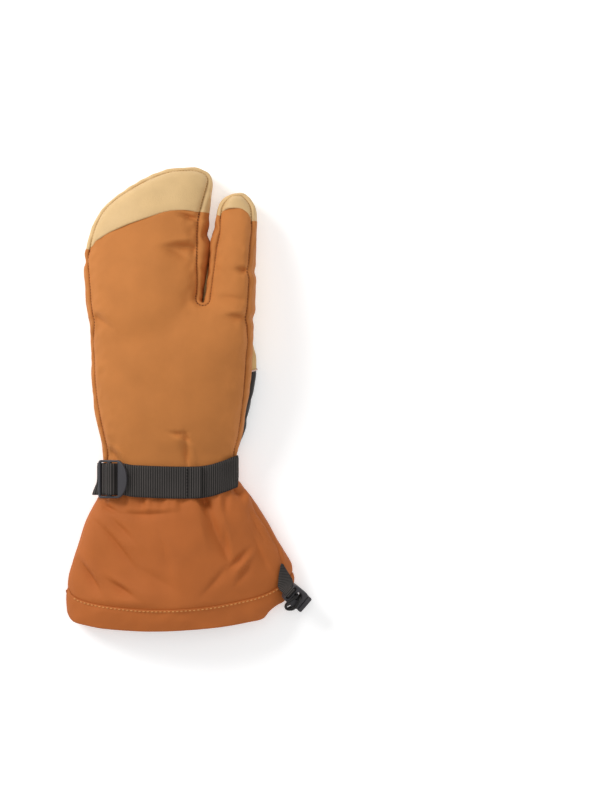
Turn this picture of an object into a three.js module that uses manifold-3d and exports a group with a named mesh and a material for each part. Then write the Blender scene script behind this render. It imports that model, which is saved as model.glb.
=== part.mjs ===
// A padded three-finger gauntlet mitt for the left hand, lying palm down with its thumb tucked under the palm.
// Millimetres, +Z up, +Y towards the fingertips, +X towards the thumb side. The origin is on the surface that
// the mitt lies on, under the middle of its plan outline.
// The hand is a hollow padded shell, cut along its seams into fabric and leather panels. The gauntlet below it
// is a thin tube of fabric, pulled in by a webbing strap at the wrist and closed by a drawcord in its hem.
import * as THREE from "three";
import { mergeVertices } from "three/addons/utils/BufferGeometryUtils.js";
import Module from "manifold-3d";

const wasm = await Module();
wasm.setup();

// Driving sizes
const HAND_WALL = 3.5;
const THUMB_WALL = 3;
const CUFF_WALL = 1.6;
const HEM_WALL = 3;
const SEAM_INSET = 6;
const SEAM_GAP = 0.4;
const THUMB_CLEARANCE = 0.6;
const HEM_PUFF = 1.2;
const CROTCH_Y = 74;
const SLIT_X = 25.9;
const BELOW_ALL = -10;
const ABOVE_ALL = 90;
const TIP_DRAW = 0.6;
const LINING_FEWER = 5;
const CUFF_POINTS = 44;
const TUBE_POINTS = 22;
const WIDE_POINTS = 18;
const INDEX_POINTS = 14;
const THUMB_POINTS = 14;

// Where each loft has its rings
const TUBE_YS = [-42, -29, -10, 12, 34, 54, 74];
const WIDE_YS = [28, 46, 64, 82, 98, 114, 129, 142, 153, 162, 169, 174, 177.2];
const INDEX_YS = [28, 46, 64, 82, 100, 118, 133, 144, 151, 156, 158];
const THUMB_YS = [-37.5, -22, 2, 24, 46, 68, 88, 99.5, 105, 107.5];
const CUFF_YS = [-42, -49, -56, -63, -70, -77, -86, -96, -106, -117, -128, -139, -149];

// Rows with named columns, from a heading and rows of numbers
function table(heading, rows) {
  const names = heading.split(" ");
  return rows.map((row) => Object.fromEntries(names.map((name, i) => [name, row[i]])));
}

// Sections across the mitt, square to Y. left and right are the plan outline, edgeLeft and edgeRight the heights
// of those edges, top and bottom the heights of the crown and the sole, square how boxy the section is.
const SECTION = "y left right edgeLeft edgeRight top bottom square";
const TUBE = table(SECTION, [
  [-178, -87, 86, 9, 8, 33, -1.5, 1.6],
  [-162, -87, 86.2, 9, 8, 35.5, -1.5, 1.6],
  [-148, -85.6, 85.6, 10, 8, 38, -1.5, 1.6],
  [-134, -84.2, 84.6, 11, 9, 39.5, -1.5, 1.65],
  [-120, -81, 80.2, 12, 11, 40.5, -1.5, 1.7],
  [-106, -76.2, 73, 14, 13, 41, -1.5, 1.8],
  [-92, -71.6, 65.4, 15, 15, 41, -1.5, 1.9],
  [-81, -65.4, 59.4, 16, 16, 39.5, -1.5, 2],
  [-73, -61, 54.6, 17, 17, 37.7, -1.5, 2.1],
  [-66, -60.2, 50, 17, 17, 37.4, -1.5, 2.1],
  [-60, -59.8, 46.6, 17, 17, 37.2, -1.5, 2.1],
  [-54, -59.4, 44.4, 17, 17, 37.2, -1.5, 2.1],
  [-48, -58.6, 43.2, 17, 17.5, 38, -1.5, 2.1],
  [-41, -58, 43.4, 17, 18, 39.8, -1.5, 2.1],
  [-30, -60.4, 46.4, 18, 20, 43.4, -1, 2.2],
  [-12, -64.4, 49.6, 18, 24, 48, 1, 2.3],
  [10, -66.9, 53.4, 18, 28, 51.5, 3, 2.4],
  [34, -67.4, 55.7, 18, 31, 53.5, 4, 2.5],
  [54, -68, 55.6, 17, 31.5, 51.8, 5, 2.5],
  [74, -64, 52, 16, 31, 45, 8, 2.5],
]);
const WIDE = table(SECTION, [
  [28, -62, 8, 18, 27, 49, 9, 2.4],
  [46, -67.6, 12, 17.5, 27, 52, 5, 2.4],
  [64, -70.4, 15.6, 16.5, 26, 52, 3.5, 2.4],
  [80, -71.6, 17.4, 16, 25, 50, 3, 2.4],
  [98, -73, 19.4, 15, 23, 46, 1.5, 2.4],
  [114, -71.8, 21, 14, 21, 42, 0, 2.4],
  [131, -67.4, 21.4, 13, 19, 38, -1, 2.3],
  [145, -60.2, 22.8, 12, 17, 34, -1.5, 2.2],
  [155, -49.6, 23.8, 11.5, 15, 31, -1.5, 2.2],
  [163, -37.2, 24.6, 11, 14, 28, -1, 2.1],
  [169, -26.2, 24.2, 10.5, 12, 25, 0, 2],
  [173.5, -15.5, 21.2, 10.5, 11, 21.5, 2, 2],
  [176, -6.5, 15.5, 10.5, 10.5, 17.5, 5, 2],
  [177.2, 0, 10, 10.5, 10.5, 13.5, 8, 2],
]);
const INDEX = table(SECTION, [
  [28, 12, 50, 29, 31, 47, 15, 2.4],
  [46, 14.4, 55.2, 30, 31, 50.5, 13, 2.4],
  [64, 17, 57.2, 30, 31, 51, 12, 2.4],
  [80, 19.4, 57.5, 28, 30, 49, 13, 2.4],
  [98, 21.7, 57.8, 26, 28, 46, 12, 2.4],
  [114, 23.6, 58.2, 24, 25, 43, 9.5, 2.4],
  [127, 25, 58.6, 21.5, 22.5, 39, 6, 2.3],
  [138, 27.1, 58.5, 19, 20, 35, 3, 2.2],
  [147, 29.4, 57, 17, 17.5, 31, 2, 2.1],
  [153, 33.2, 52.8, 15.5, 16, 27, 3.5, 2],
  [156.5, 37.4, 49.6, 15, 15, 22, 8, 2],
  [158, 41, 46.8, 15, 15, 18, 12, 2],
]);
const THUMB = table(SECTION, [
  [-37.5, -3, 44.2, 11, 13, 22, -1.5, 2.3],
  [-25, -6.5, 48.2, 12, 14, 24, -1.5, 2.3],
  [-8, -9, 52.5, 12, 14, 26, -1.5, 2.3],
  [10, -9.5, 56.4, 12, 14.5, 27, -1.5, 2.3],
  [26, -8, 58.4, 12.5, 14.5, 27.5, -1.5, 2.3],
  [42, -5.5, 55.5, 12.5, 14, 27.5, -1.5, 2.3],
  [60, -3, 49, 12.5, 13, 27, -1.5, 2.3],
  [78, -1.5, 42, 12.5, 12.5, 26.5, -1.5, 2.3],
  [92, 0.5, 37.5, 12.5, 12.5, 25.5, -1, 2.2],
  [100, 4, 33.5, 12, 12, 23.5, 0, 2.1],
  [105, 9.5, 28, 12, 12, 20, 3, 2],
  [107.5, 15, 22, 12, 12, 15.5, 8.5, 2],
]);

// Dents and folds pressed into the upper surface: where, which way the fold runs from +X, and its size.
// A negative depth is the ridge beside a fold.
const FOLDS = table("x y heading length width depth", [
  [28, -99, -73, 24, 7, 3.4],
  [18, -104, -76, 20, 7, -1.2],
  [20, -77, -30, 9, 5, 2.4],
  [-49, -101, -32, 20, 6, 3],
  [-43, -92, -28, 18, 7, -1.2],
  [-51, -116, -52, 18, 6, 2.6],
  [-67, -131, -56, 14, 6, 2.2],
  [-45, -143, -41, 11, 6, 1.8],
  [59, -104, -64, 20, 6, 2.4],
  [45, -124, -42, 11, 6, 2],
  [2, -128, 84, 20, 9, 1.6],
  [5, 116, 24, 18, 7, 2.4],
  [8, 137, 12, 10, 4, 1.6],
  [46, 62, 8, 11, 5, 1.6],
  [48, 98, 16, 8, 4, 1.4],
  [-58, 61, -30, 12, 6, 2],
  [-46, -43, -60, 9, 5, 1.8],
  [5, -32, -80, 12, 5, 2],
]);

// The elastic at the wrist gathers the palm side into upright pleats
const SHIRRING = { y: -56, reach: 13, pleats: CUFF_POINTS / 2, depth: 1.1 };

// Plan lines of the seam that joins the hem and of the hem's free end
const HEM_SEAM = table("x y", [
  [-88, -141], [-85.3, -144.3], [-82, -149], [-71.6, -153.3], [-51.9, -156.6], [-19.2, -158.8], [20, -156.8],
  [52.8, -150.9], [65.8, -147], [77.6, -140.5], [84.6, -133], [88, -128],
]);
const HEM_END = table("x y", [
  [-88, -160], [-84.7, -166.4], [-81.4, -169.6], [-75, -171.6], [-57.2, -174.6], [-19.2, -176.3], [26.6, -173.5],
  [55, -169], [63.7, -166.6], [68, -161.6], [73.5, -157.4], [79.5, -154], [85, -147], [88, -142],
]);

// Value of one column on a smooth curve through the rows, which are in the order of their key
function column(rows, name, value, key = "y") {
  let i = 0;
  while (i < rows.length - 2 && value > rows[i + 1][key]) i += 1;
  const [a, b] = [rows[i], rows[i + 1]];
  const [before, after] = [rows[Math.max(i - 1, 0)], rows[Math.min(i + 2, rows.length - 1)]];
  const span = b[key] - a[key];
  const t = THREE.MathUtils.clamp((value - a[key]) / span, 0, 1);
  const slopeA = ((b[name] - before[name]) / (b[key] - before[key])) * span;
  const slopeB = ((after[name] - a[name]) / (after[key] - a[key])) * span;
  const bendA = slopeA * t * (1 - t) ** 2;
  const bendB = slopeB * t ** 2 * (t - 1);
  return a[name] + (b[name] - a[name]) * t ** 2 * (3 - 2 * t) + bendA + bendB;
}

function foldDepth(x, y) {
  let depth = 0;
  for (const fold of FOLDS) {
    const turn = THREE.MathUtils.degToRad(fold.heading);
    const along = (x - fold.x) * Math.cos(turn) + (y - fold.y) * Math.sin(turn);
    const aside = (y - fold.y) * Math.cos(turn) - (x - fold.x) * Math.sin(turn);
    depth += fold.depth * Math.exp(-((along / fold.length) ** 2) - (aside / fold.width) ** 2);
  }
  return depth;
}

// A point on the surface of a section table: angle runs from the right edge over the top to the left edge.
// A smooth surface is the one that the strap and tapes bridge, without the folds.
function sectionPoint(rows, y, angle, grow = 0, smooth = false) {
  const at = (name) => column(rows, name, y);
  const power = 2 / at("square");
  const across = Math.sign(Math.cos(angle)) * Math.abs(Math.cos(angle)) ** power;
  const lift = Math.sign(Math.sin(angle)) * Math.abs(Math.sin(angle)) ** power;
  const half = (at("right") - at("left")) / 2;
  const middle = (at("edgeLeft") + at("edgeRight")) / 2;
  const edge = middle + ((at("edgeRight") - at("edgeLeft")) / 2) * across;
  const x = (at("left") + at("right")) / 2 + across * Math.max(half + grow, half * 0.2);
  const reach = lift > 0 ? at("top") - middle : middle - at("bottom");
  let z = edge + lift * Math.max(reach + grow, reach * 0.2);
  if (lift > 0 && !smooth) z -= foldDepth(x, y) * Math.min(1, lift * 2);
  return new THREE.Vector3(x, y, Math.max(z, Math.max(-grow, 0)));
}

// A closed geometry through rings of equal length, with a flat fan over each end
function loft(rings) {
  const count = rings[0].length;
  const points = rings.flat();
  const faces = [];
  for (let r = 0; r + 1 < rings.length; r += 1) {
    for (let i = 0; i < count; i += 1) {
      const [a, b] = [r * count + i, r * count + ((i + 1) % count)];
      faces.push(a, b, b + count, a, b + count, a + count);
    }
  }
  for (const [ring, start] of [[rings[0], 0], [rings.at(-1), (rings.length - 1) * count]]) {
    const centre = ring.reduce((sum, p) => sum.add(p), new THREE.Vector3()).divideScalar(count);
    points.push(centre);
    for (let i = 0; i < count; i += 1) {
      const edge = [start + ((i + 1) % count), start + i];
      faces.push(...(start ? edge.reverse() : edge), points.length - 1);
    }
  }
  return outward(points, faces);
}

// A sheet of real thickness between two grids of points; closed joins each row's end to its start, as in a tube
function thickSheet(outer, inner, closed) {
  const [rows, count] = [outer.length, outer[0].length];
  const points = [...outer.flat(), ...inner.flat()];
  const under = rows * count;
  const faces = [];
  const quad = (a, b, c, d) => faces.push(a, b, c, a, c, d);
  const steps = closed ? count : count - 1;
  for (let r = 0; r < rows; r += 1) {
    for (let i = 0; i < steps; i += 1) {
      const [a, b] = [r * count + i, r * count + ((i + 1) % count)];
      if (r + 1 < rows) {
        quad(a, b, b + count, a + count);
        quad(under + a, under + a + count, under + b + count, under + b);
      }
      if (r === 0) quad(a, under + a, under + b, b);
      if (r === rows - 1) quad(a, b, under + b, under + a);
    }
  }
  for (let r = 0; r + 1 < rows && !closed; r += 1) {
    const [start, end] = [r * count, r * count + count - 1];
    quad(start, start + count, under + start + count, under + start);
    quad(end, under + end, under + end + count, end + count);
  }
  return outward(points, faces);
}

// A geometry of these faces, turned so that they point out
function outward(points, faces) {
  let volume = 0;
  for (let i = 0; i < faces.length; i += 3) {
    const [a, b, c] = faces.slice(i, i + 3).map((index) => points[index]);
    volume += a.dot(new THREE.Vector3().crossVectors(b, c));
  }
  const geometry = new THREE.BufferGeometry().setFromPoints(points);
  return geometry.setIndex(volume > 0 ? faces : faces.reverse());
}

function solidFrom(geometry) {
  const bare = geometry.clone();
  for (const name of Object.keys(bare.attributes)) {
    if (name !== "position") bare.deleteAttribute(name);
  }
  const merged = mergeVertices(bare, 1e-3);
  const triVerts = new Uint32Array(merged.index.array);
  const vertProperties = merged.attributes.position.array;
  return new wasm.Manifold(new wasm.Mesh({ numProp: 3, vertProperties, triVerts }));
}

function geometryFrom(solid) {
  const mesh = solid.getMesh();
  const positions = new THREE.BufferAttribute(mesh.vertProperties, 3);
  return new THREE.BufferGeometry()
    .setAttribute("position", positions)
    .setIndex(new THREE.BufferAttribute(mesh.triVerts, 1));
}

// The separate bodies of a solid, largest first
function bodies(solid) {
  return solid.decompose().sort((a, b) => b.volume() - a.volume());
}

function middleOf(solid, axis) {
  const { min, max } = solid.boundingBox();
  return (min[axis] + max[axis]) / 2;
}

// A prism standing on a plan outline of [x, y] points
function prism(outline, low, high) {
  const shape = new THREE.Shape(outline.map(([x, y]) => new THREE.Vector2(x, y)));
  const geometry = new THREE.ExtrudeGeometry(shape, { depth: high - low, bevelEnabled: false });
  return solidFrom(geometry.translate(0, 0, low));
}

function angles(count) {
  return Array.from({ length: count }, (_, i) => (2 * Math.PI * i) / count);
}

// The border between hand and gauntlet leans: it is under the strap on the back, and shows on the palm
function wristBorder(point, shift) {
  return new THREE.Vector3(point.x, -36 - 0.3 * point.z + shift, point.z);
}

// Rings along a padded stall, its tip drawn in with the walls. Linings have fewer points round than the outside.
function stallRings(rows, ys, count, grow) {
  const [root, tip] = [ys[0], ys.at(-1)];
  return ys.map((y) =>
    angles(grow < 0 ? count - LINING_FEWER : count).map((angle) => {
      const point = sectionPoint(rows, y, angle, grow);
      point.y += (TIP_DRAW * grow * (y - root)) / (tip - root);
      return point;
    }),
  );
}

// The hand without its thumb, grown by grow all over
function handSolid(grow) {
  const tubeRings = TUBE_YS.map((y) =>
    angles(grow < 0 ? TUBE_POINTS - LINING_FEWER : TUBE_POINTS).map((angle) => sectionPoint(TUBE, y, angle, grow)),
  );
  const borderShift = grow < 0 ? -8 : SEAM_GAP / 2;
  tubeRings[0] = tubeRings[0].map((point) => wristBorder(point, borderShift));
  const wide = loft(stallRings(WIDE, WIDE_YS, WIDE_POINTS, grow));
  const index = loft(stallRings(INDEX, INDEX_YS, INDEX_POINTS, grow));
  return solidFrom(loft(tubeRings)).add(solidFrom(wide)).add(solidFrom(index));
}

// The thumb, grown by grow. Its root ends along the wrist's border, and moves with the walls too.
function thumbSolid(grow) {
  const rings = stallRings(THUMB, THUMB_YS, THUMB_POINTS, grow);
  const rootShift = grow > 0 ? -8 : SEAM_GAP / 2 - grow;
  rings[0] = rings[0].map((point) => wristBorder(point, rootShift));
  return solidFrom(loft(rings));
}

// The plan outline of the hand, from the wrist up the left side and back down the right, moved in by inset
function handOutline(inset) {
  const side = (rows, name, ys) => ys.map((y) => new THREE.Vector2(column(rows, name, y), y));
  const wideYs = WIDE_YS.filter((y) => y > CROTCH_Y);
  const indexYs = INDEX_YS.filter((y) => y > CROTCH_Y);
  const tubeYs = [-60, ...TUBE_YS.slice(0, -2)];
  const points = [
    ...side(TUBE, "left", tubeYs),
    ...side(WIDE, "left", [64, ...wideYs]),
    ...side(WIDE, "right", [...wideYs].reverse()),
    new THREE.Vector2(column(WIDE, "right", CROTCH_Y), CROTCH_Y),
    new THREE.Vector2(column(INDEX, "left", CROTCH_Y), CROTCH_Y),
    ...side(INDEX, "left", indexYs),
    ...side(INDEX, "right", [64, ...indexYs].reverse()),
    ...side(TUBE, "right", [...tubeYs].reverse()),
  ];
  return points.map((point, i) => {
    const before = points[Math.max(i - 1, 0)];
    const after = points[Math.min(i + 1, points.length - 1)];
    const along = after.clone().sub(before).normalize();
    return [point.x + along.y * inset, point.y - along.x * inset];
  });
}

// Plan regions of the leather fingertips. Each edge runs from left to right where fabric meets leather.
const WIDE_CAP_EDGE = [
  [-95, 101], [-70, 113.5], [-64.4, 119.5], [-51.9, 127], [-38.9, 132.6], [-25.8, 136.9],
  [-12.7, 141], [-0.9, 143], [8.3, 143], [15.5, 141.5], [SLIT_X, 139.5],
];
const INDEX_CAP_EDGE = [
  [SLIT_X, 136.5], [28.5, 140], [31.8, 143], [39.7, 144.5], [46.2, 144.5], [54.1, 139.5], [58.4, 135.5], [70, 131],
];
function capRegion(edge, shift) {
  const raised = edge.map(([x, y]) => [x, y + shift]);
  const beyond = 200;
  return prism([...raised, [edge.at(-1)[0], beyond], [edge[0][0], beyond]], BELOW_ALL, ABOVE_ALL);
}

// The thumb's stall opens into the hand through this oval hole
const PASSAGE = { x: 22, y: -7, halfWide: 16, halfLong: 20, low: 14, high: 38, sides: 20 };
const passage = prism(
  angles(PASSAGE.sides).map((a) => [
    PASSAGE.x + PASSAGE.halfWide * Math.cos(a),
    PASSAGE.y + PASSAGE.halfLong * Math.sin(a),
  ]),
  PASSAGE.low,
  PASSAGE.high,
);

// Panels of the hand, cut from one shell along its seams
const handCavity = handSolid(-HAND_WALL).subtract(thumbSolid(THUMB_CLEARANCE + HAND_WALL));
const handShell = handSolid(0).subtract(thumbSolid(THUMB_CLEARANCE)).subtract(handCavity).subtract(passage);
const inBorder = prism(handOutline(SEAM_INSET + SEAM_GAP / 2), BELOW_ALL, ABOVE_ALL);
const outBorder = prism(handOutline(SEAM_INSET - SEAM_GAP / 2), BELOW_ALL, ABOVE_ALL);
const [upper, lower] = bodies(handShell.intersect(inBorder))
  .slice(0, 2)
  .sort((a, b) => middleOf(b, 2) - middleOf(a, 2));
const sideBand = bodies(handShell.subtract(outBorder))[0];
const capsGrown = [WIDE_CAP_EDGE, INDEX_CAP_EDGE].map((edge) => capRegion(edge, -SEAM_GAP / 2));
const [wideCap, indexCap] = [WIDE_CAP_EDGE, INDEX_CAP_EDGE].map((edge) => capRegion(edge, SEAM_GAP / 2));
const withoutCaps = (solid) => solid.subtract(capsGrown[0]).subtract(capsGrown[1]);
const [sideGusset, splitGusset, indexGusset] = bodies(withoutCaps(sideBand))
  .slice(0, 3)
  .sort((a, b) => middleOf(a, 0) - middleOf(b, 0));

// The thumb: a dark panel under and outside, leather inside and round the tip. The dark panel's seams are this
// far in from the thumb's outline, under it on the left and over it on the right, and it ends short of the tip.
const THUMB_PANEL = { under: 4.5, over: 9, mid: 12, top: 24, ys: [-60, -25, -8, 10, 26, 42, 60, 78, 92, 99, 102.5] };
function thumbPanelRegion(gap) {
  const rings = THUMB_PANEL.ys.map((y) => {
    const left = column(THUMB, "left", y) + THUMB_PANEL.under + gap;
    const over = column(THUMB, "right", y) - THUMB_PANEL.over + gap;
    const beyond = over + THUMB_PANEL.over + 10;
    const [mid, top] = [THUMB_PANEL.mid - gap, THUMB_PANEL.top - gap];
    const corners = [[left, -5], [beyond, -5], [beyond, top], [over, top], [over, mid], [left, mid]];
    return corners.map(([x, z]) => new THREE.Vector3(x, y - gap, z));
  });
  return solidFrom(loft(rings));
}
const thumbShell = thumbSolid(0).subtract(thumbSolid(-THUMB_WALL)).subtract(passage);
const thumbBack = bodies(thumbShell.intersect(thumbPanelRegion(SEAM_GAP / 2)))[0];
const thumbInner = bodies(thumbShell.subtract(thumbPanelRegion(-SEAM_GAP / 2)))[0];

// The leather patch sewn over the index side, under the hand
const PATCH_OUTLINE = [
  [54, 35], [52, 25], [66, 25], [66, 113], [39.6, 114.5], [37.3, 95.5], [43.3, 84.3], [36.6, 79.5], [38, 62], [44, 46],
];
const PATCH = { gap: 0.4, thick: 1.3, low: -5, high: 27 };
const patchLayer = handSolid(PATCH.gap + PATCH.thick).subtract(handSolid(PATCH.gap));
const patchRegion = prism(PATCH_OUTLINE, PATCH.low, PATCH.high).subtract(thumbSolid(THUMB_CLEARANCE + PATCH.gap));
const indexPatch = bodies(patchLayer.intersect(patchRegion))[0];

// The gauntlet: a fabric tube from the wrist border to the hem seam. Past FLARE_Y its rings lean into the curve
// of that seam.
const FLARE_Y = -86;
function cuffPoint(y, angle, grow) {
  const pleat = SHIRRING.depth * Math.exp(-(((y - SHIRRING.y) / SHIRRING.reach) ** 2));
  const gathered = Math.sin(angle) < 0 ? pleat * Math.cos(SHIRRING.pleats * angle) : 0;
  const point = sectionPoint(TUBE, y, angle, grow);
  if (point.z < 8) point.z = Math.max(point.z, Math.max(-grow, 0) + pleat + gathered);
  return point;
}
function cuffRings(grow) {
  return CUFF_YS.map((y, r) =>
    angles(CUFF_POINTS).map((angle) => {
      const point = cuffPoint(y, angle, grow);
      if (r === 0) return wristBorder(point, -SEAM_GAP / 2);
      const share = Math.max(0, (FLARE_Y - y) / (FLARE_Y - CUFF_YS.at(-1)));
      const seamY = column(HEM_SEAM, "y", point.x, "x") + SEAM_GAP / 2;
      point.y += (seamY - CUFF_YS.at(-1)) * share ** 2;
      return point;
    }),
  );
}
const cuff = thickSheet(cuffRings(0), cuffRings(-CUFF_WALL), true);

// The hem: folded fabric round the drawcord, a little fuller than the gauntlet
function hemRings(inner) {
  return [0, 0.15, 0.85, 1].map((share) =>
    angles(CUFF_POINTS).map((angle) => {
      const puff = HEM_PUFF * Math.sin(Math.PI * share);
      const grow = inner ? HEM_PUFF / 2 - HEM_WALL + puff * 0.2 : puff;
      const point = sectionPoint(TUBE, -149 - 25 * share, angle, grow);
      const seamY = column(HEM_SEAM, "y", point.x, "x") - SEAM_GAP;
      const endY = column(HEM_END, "y", point.x, "x");
      return point.setY(seamY + (endY - seamY) * share);
    }),
  );
}
const hemBand = thickSheet(hemRings(false), hemRings(true), true);

// Webbing is a ribbon. Each of its edges and middle lines is a path, and its thickness is square to the path.
const WEBBING = { width: 24, thick: 1.5, gap: 1 };
function ribbon(paths, thick) {
  const face = (side) => paths.map((path) =>
    path.map((point, i) => {
      const before = path[Math.max(i - 1, 0)];
      const after = path[Math.min(i + 1, path.length - 1)];
      const along = after.clone().sub(before).setY(0).normalize();
      return point.clone().add(new THREE.Vector3(-along.z, 0, along.x).multiplyScalar((side * thick) / 2));
    }),
  );
  return thickSheet(face(1), face(-1), false);
}
const spread = (width, count) => Array.from({ length: count }, (_, i) => width * (i / (count - 1) - 0.5));

// The strap's place along Y against its angle round the wrist
const STRAP_LINE = table("degrees y", [
  [-14, -53], [18, -54], [40, -58], [60, -61.3], [80, -62.2], [100, -61.8], [120, -61], [150, -60],
]);
function strapPoint(degrees, aside, layer) {
  const y = column(STRAP_LINE, "y", degrees, "degrees") + aside;
  const grow = WEBBING.gap + WEBBING.thick / 2 + layer * (WEBBING.thick + 0.4);
  return sectionPoint(TUBE, y, THREE.MathUtils.degToRad(degrees), grow, true);
}

// The buckle is flat and tilted with the side of the wrist. along and above are its own directions.
const BUCKLE = { x: -50.2, y: -60.2, z: 35.5, tilt: 28, long: 25, high: 29, thick: 2.6 };
function buckleSpot(along, above, aside) {
  const tilt = THREE.MathUtils.degToRad(BUCKLE.tilt);
  const x = BUCKLE.x + along * Math.cos(tilt) - above * Math.sin(tilt);
  return new THREE.Vector3(x, BUCKLE.y + aside, BUCKLE.z + along * Math.sin(tilt) + above * Math.cos(tilt));
}
const STRAP_TURN = table("along above", [
  [6, -4.3], [0, -4.3], [-4, -4.2], [-5.4, -3.2], [-5.7, -1.5], [-5.7, 0.8], [-5, 2.1], [-3.8, 2.5],
  [-1, 2.5], [0.6, 2.2], [1.4, 1], [1.6, -0.8], [2.4, -1.9], [3.8, -2.3], [8, -2.3],
]);
const BASE_DEGREES = [-9, -1, 7, 16, 28, 41, 53, 65, 77, 88, 99, 110, 118];
const TAIL_DEGREES = [117, 107, 96, 85, 75];
const strap = ribbon(
  spread(WEBBING.width, 3).map((aside) => [
    ...BASE_DEGREES.map((degrees) => strapPoint(degrees, aside, 0)),
    ...STRAP_TURN.map(({ along, above }) => buckleSpot(along, above, aside)),
    ...TAIL_DEGREES.map((degrees) => strapPoint(degrees, aside, 1)),
  ]),
  WEBBING.thick,
);

// The webbing loop that holds the buckle to the seam on the little-finger side
const ANCHOR_TURN = table("along above", [
  [-14.4, -4.4], [-14.6, -1.8], [-14.1, 1], [-12.6, 2.3], [-10.4, 2.3],
  [-9.1, 0.8], [-9, -1.8], [-10, -3.6], [-11.4, -4.6],
]);
const ANCHOR = { width: 23, thick: 1.2 };
const anchor = ribbon(
  spread(ANCHOR.width, 2).map((aside) => ANCHOR_TURN.map(({ along, above }) => buckleSpot(along, above, aside))),
  ANCHOR.thick,
);

function roundedRectangle(path, low, high, left, right, radius) {
  path.moveTo(left + radius, low);
  path.lineTo(right - radius, low).quadraticCurveTo(right, low, right, low + radius);
  path.lineTo(right, high - radius).quadraticCurveTo(right, high, right - radius, high);
  path.lineTo(left + radius, high).quadraticCurveTo(left, high, left, high - radius);
  path.lineTo(left, low + radius).quadraticCurveTo(left, low, left + radius, low);
  return path;
}

// Ladder buckle: a frame with two slots and a rounded lifting tab
function buckleGeometry() {
  const [end, half] = [BUCKLE.long / 2, BUCKLE.high / 2];
  const outline = new THREE.Shape();
  outline.moveTo(-end + 2.5, -half);
  outline.lineTo(3.5, -half).bezierCurveTo(end - 2, -half, end, -7, end, 0);
  outline.bezierCurveTo(end, 7, end - 2, half, 3.5, half);
  outline.lineTo(-end + 2.5, half).quadraticCurveTo(-end, half, -end, half - 2.5);
  outline.lineTo(-end, -half + 2.5).quadraticCurveTo(-end, -half, -end + 2.5, -half);
  const slot = (left, right) => roundedRectangle(new THREE.Path(), -half + 1.8, half - 1.8, left, right, 0.6);
  outline.holes.push(slot(-10.6, -4.4), slot(-1.4, 4.6));
  const bevel = { bevelEnabled: true, bevelThickness: 0.5, bevelSize: 0.4, bevelOffset: -0.4, bevelSegments: 1 };
  const depth = BUCKLE.thick - 2 * bevel.bevelThickness;
  return new THREE.ExtrudeGeometry(outline, { depth, curveSegments: 3, ...bevel }).translate(0, 0, -depth / 2);
}

// The cord lock hangs by its tape over the corner of the hem. along is its push direction, aside is across it.
const LOCK = { x: 88.7, y: -150.6, z: 18.6, turn: -41, tilt: 20, thick: 9, wide: 15, cordHole: 2.8 };
const LOCK_HOLE = { along: -1.4, aside: 1.6 };
const lockMatrix = new THREE.Matrix4()
  .makeTranslation(LOCK.x, LOCK.y, LOCK.z)
  .multiply(new THREE.Matrix4().makeRotationZ(THREE.MathUtils.degToRad(LOCK.turn)))
  .multiply(new THREE.Matrix4().makeRotationY(THREE.MathUtils.degToRad(LOCK.tilt)));
function lockSpot(along, aside, above) {
  return new THREE.Vector3(along, aside, above).applyMatrix4(lockMatrix);
}
function extruded(shape, thick, bevel) {
  const depth = thick - 2 * bevel;
  const options = { depth, curveSegments: 4, bevelEnabled: bevel > 0, bevelThickness: bevel, bevelSize: bevel };
  const geometry = new THREE.ExtrudeGeometry(shape, { ...options, bevelOffset: -bevel, bevelSegments: 1 });
  return geometry.translate(0, 0, -depth / 2);
}
function slotPrism(left, right, half, thick) {
  return solidFrom(extruded(roundedRectangle(new THREE.Shape(), -half, half, left, right, 0.5), thick, 0));
}
function cordWay() {
  const hole = new THREE.CylinderGeometry(LOCK.cordHole, LOCK.cordHole, 30, 14).rotateX(Math.PI / 2);
  return solidFrom(hole.translate(LOCK_HOLE.along, LOCK_HOLE.aside, 0));
}
function lockBody() {
  const half = LOCK.wide / 2;
  const outline = new THREE.Shape();
  outline.moveTo(-9.6, -half + 2).lineTo(-8, -half + 0.3).lineTo(3.4, -half).lineTo(5, -half + 1.4);
  outline.lineTo(5, half - 1.4).lineTo(3.4, half).lineTo(-8, half - 0.3).lineTo(-9.6, half - 2);
  const pocket = solidFrom(new THREE.BoxGeometry(11.2, 9.4, 5.6).translate(0.4, LOCK_HOLE.aside - 0.4, 0));
  const body = solidFrom(extruded(outline, LOCK.thick, 1)).subtract(pocket).subtract(cordWay());
  return body.subtract(slotPrism(-8.2, -6, 5, 30));
}
function lockButton() {
  const plate = extruded(roundedRectangle(new THREE.Shape(), -6.8, 6.8, 6.4, 9.2, 1), LOCK.thick - 0.4, 0.6);
  const stem = new THREE.BoxGeometry(11, 8.6, 4.8).translate(1.3, LOCK_HOLE.aside - 0.4, 0);
  return solidFrom(plate).add(solidFrom(stem)).subtract(cordWay());
}

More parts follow.
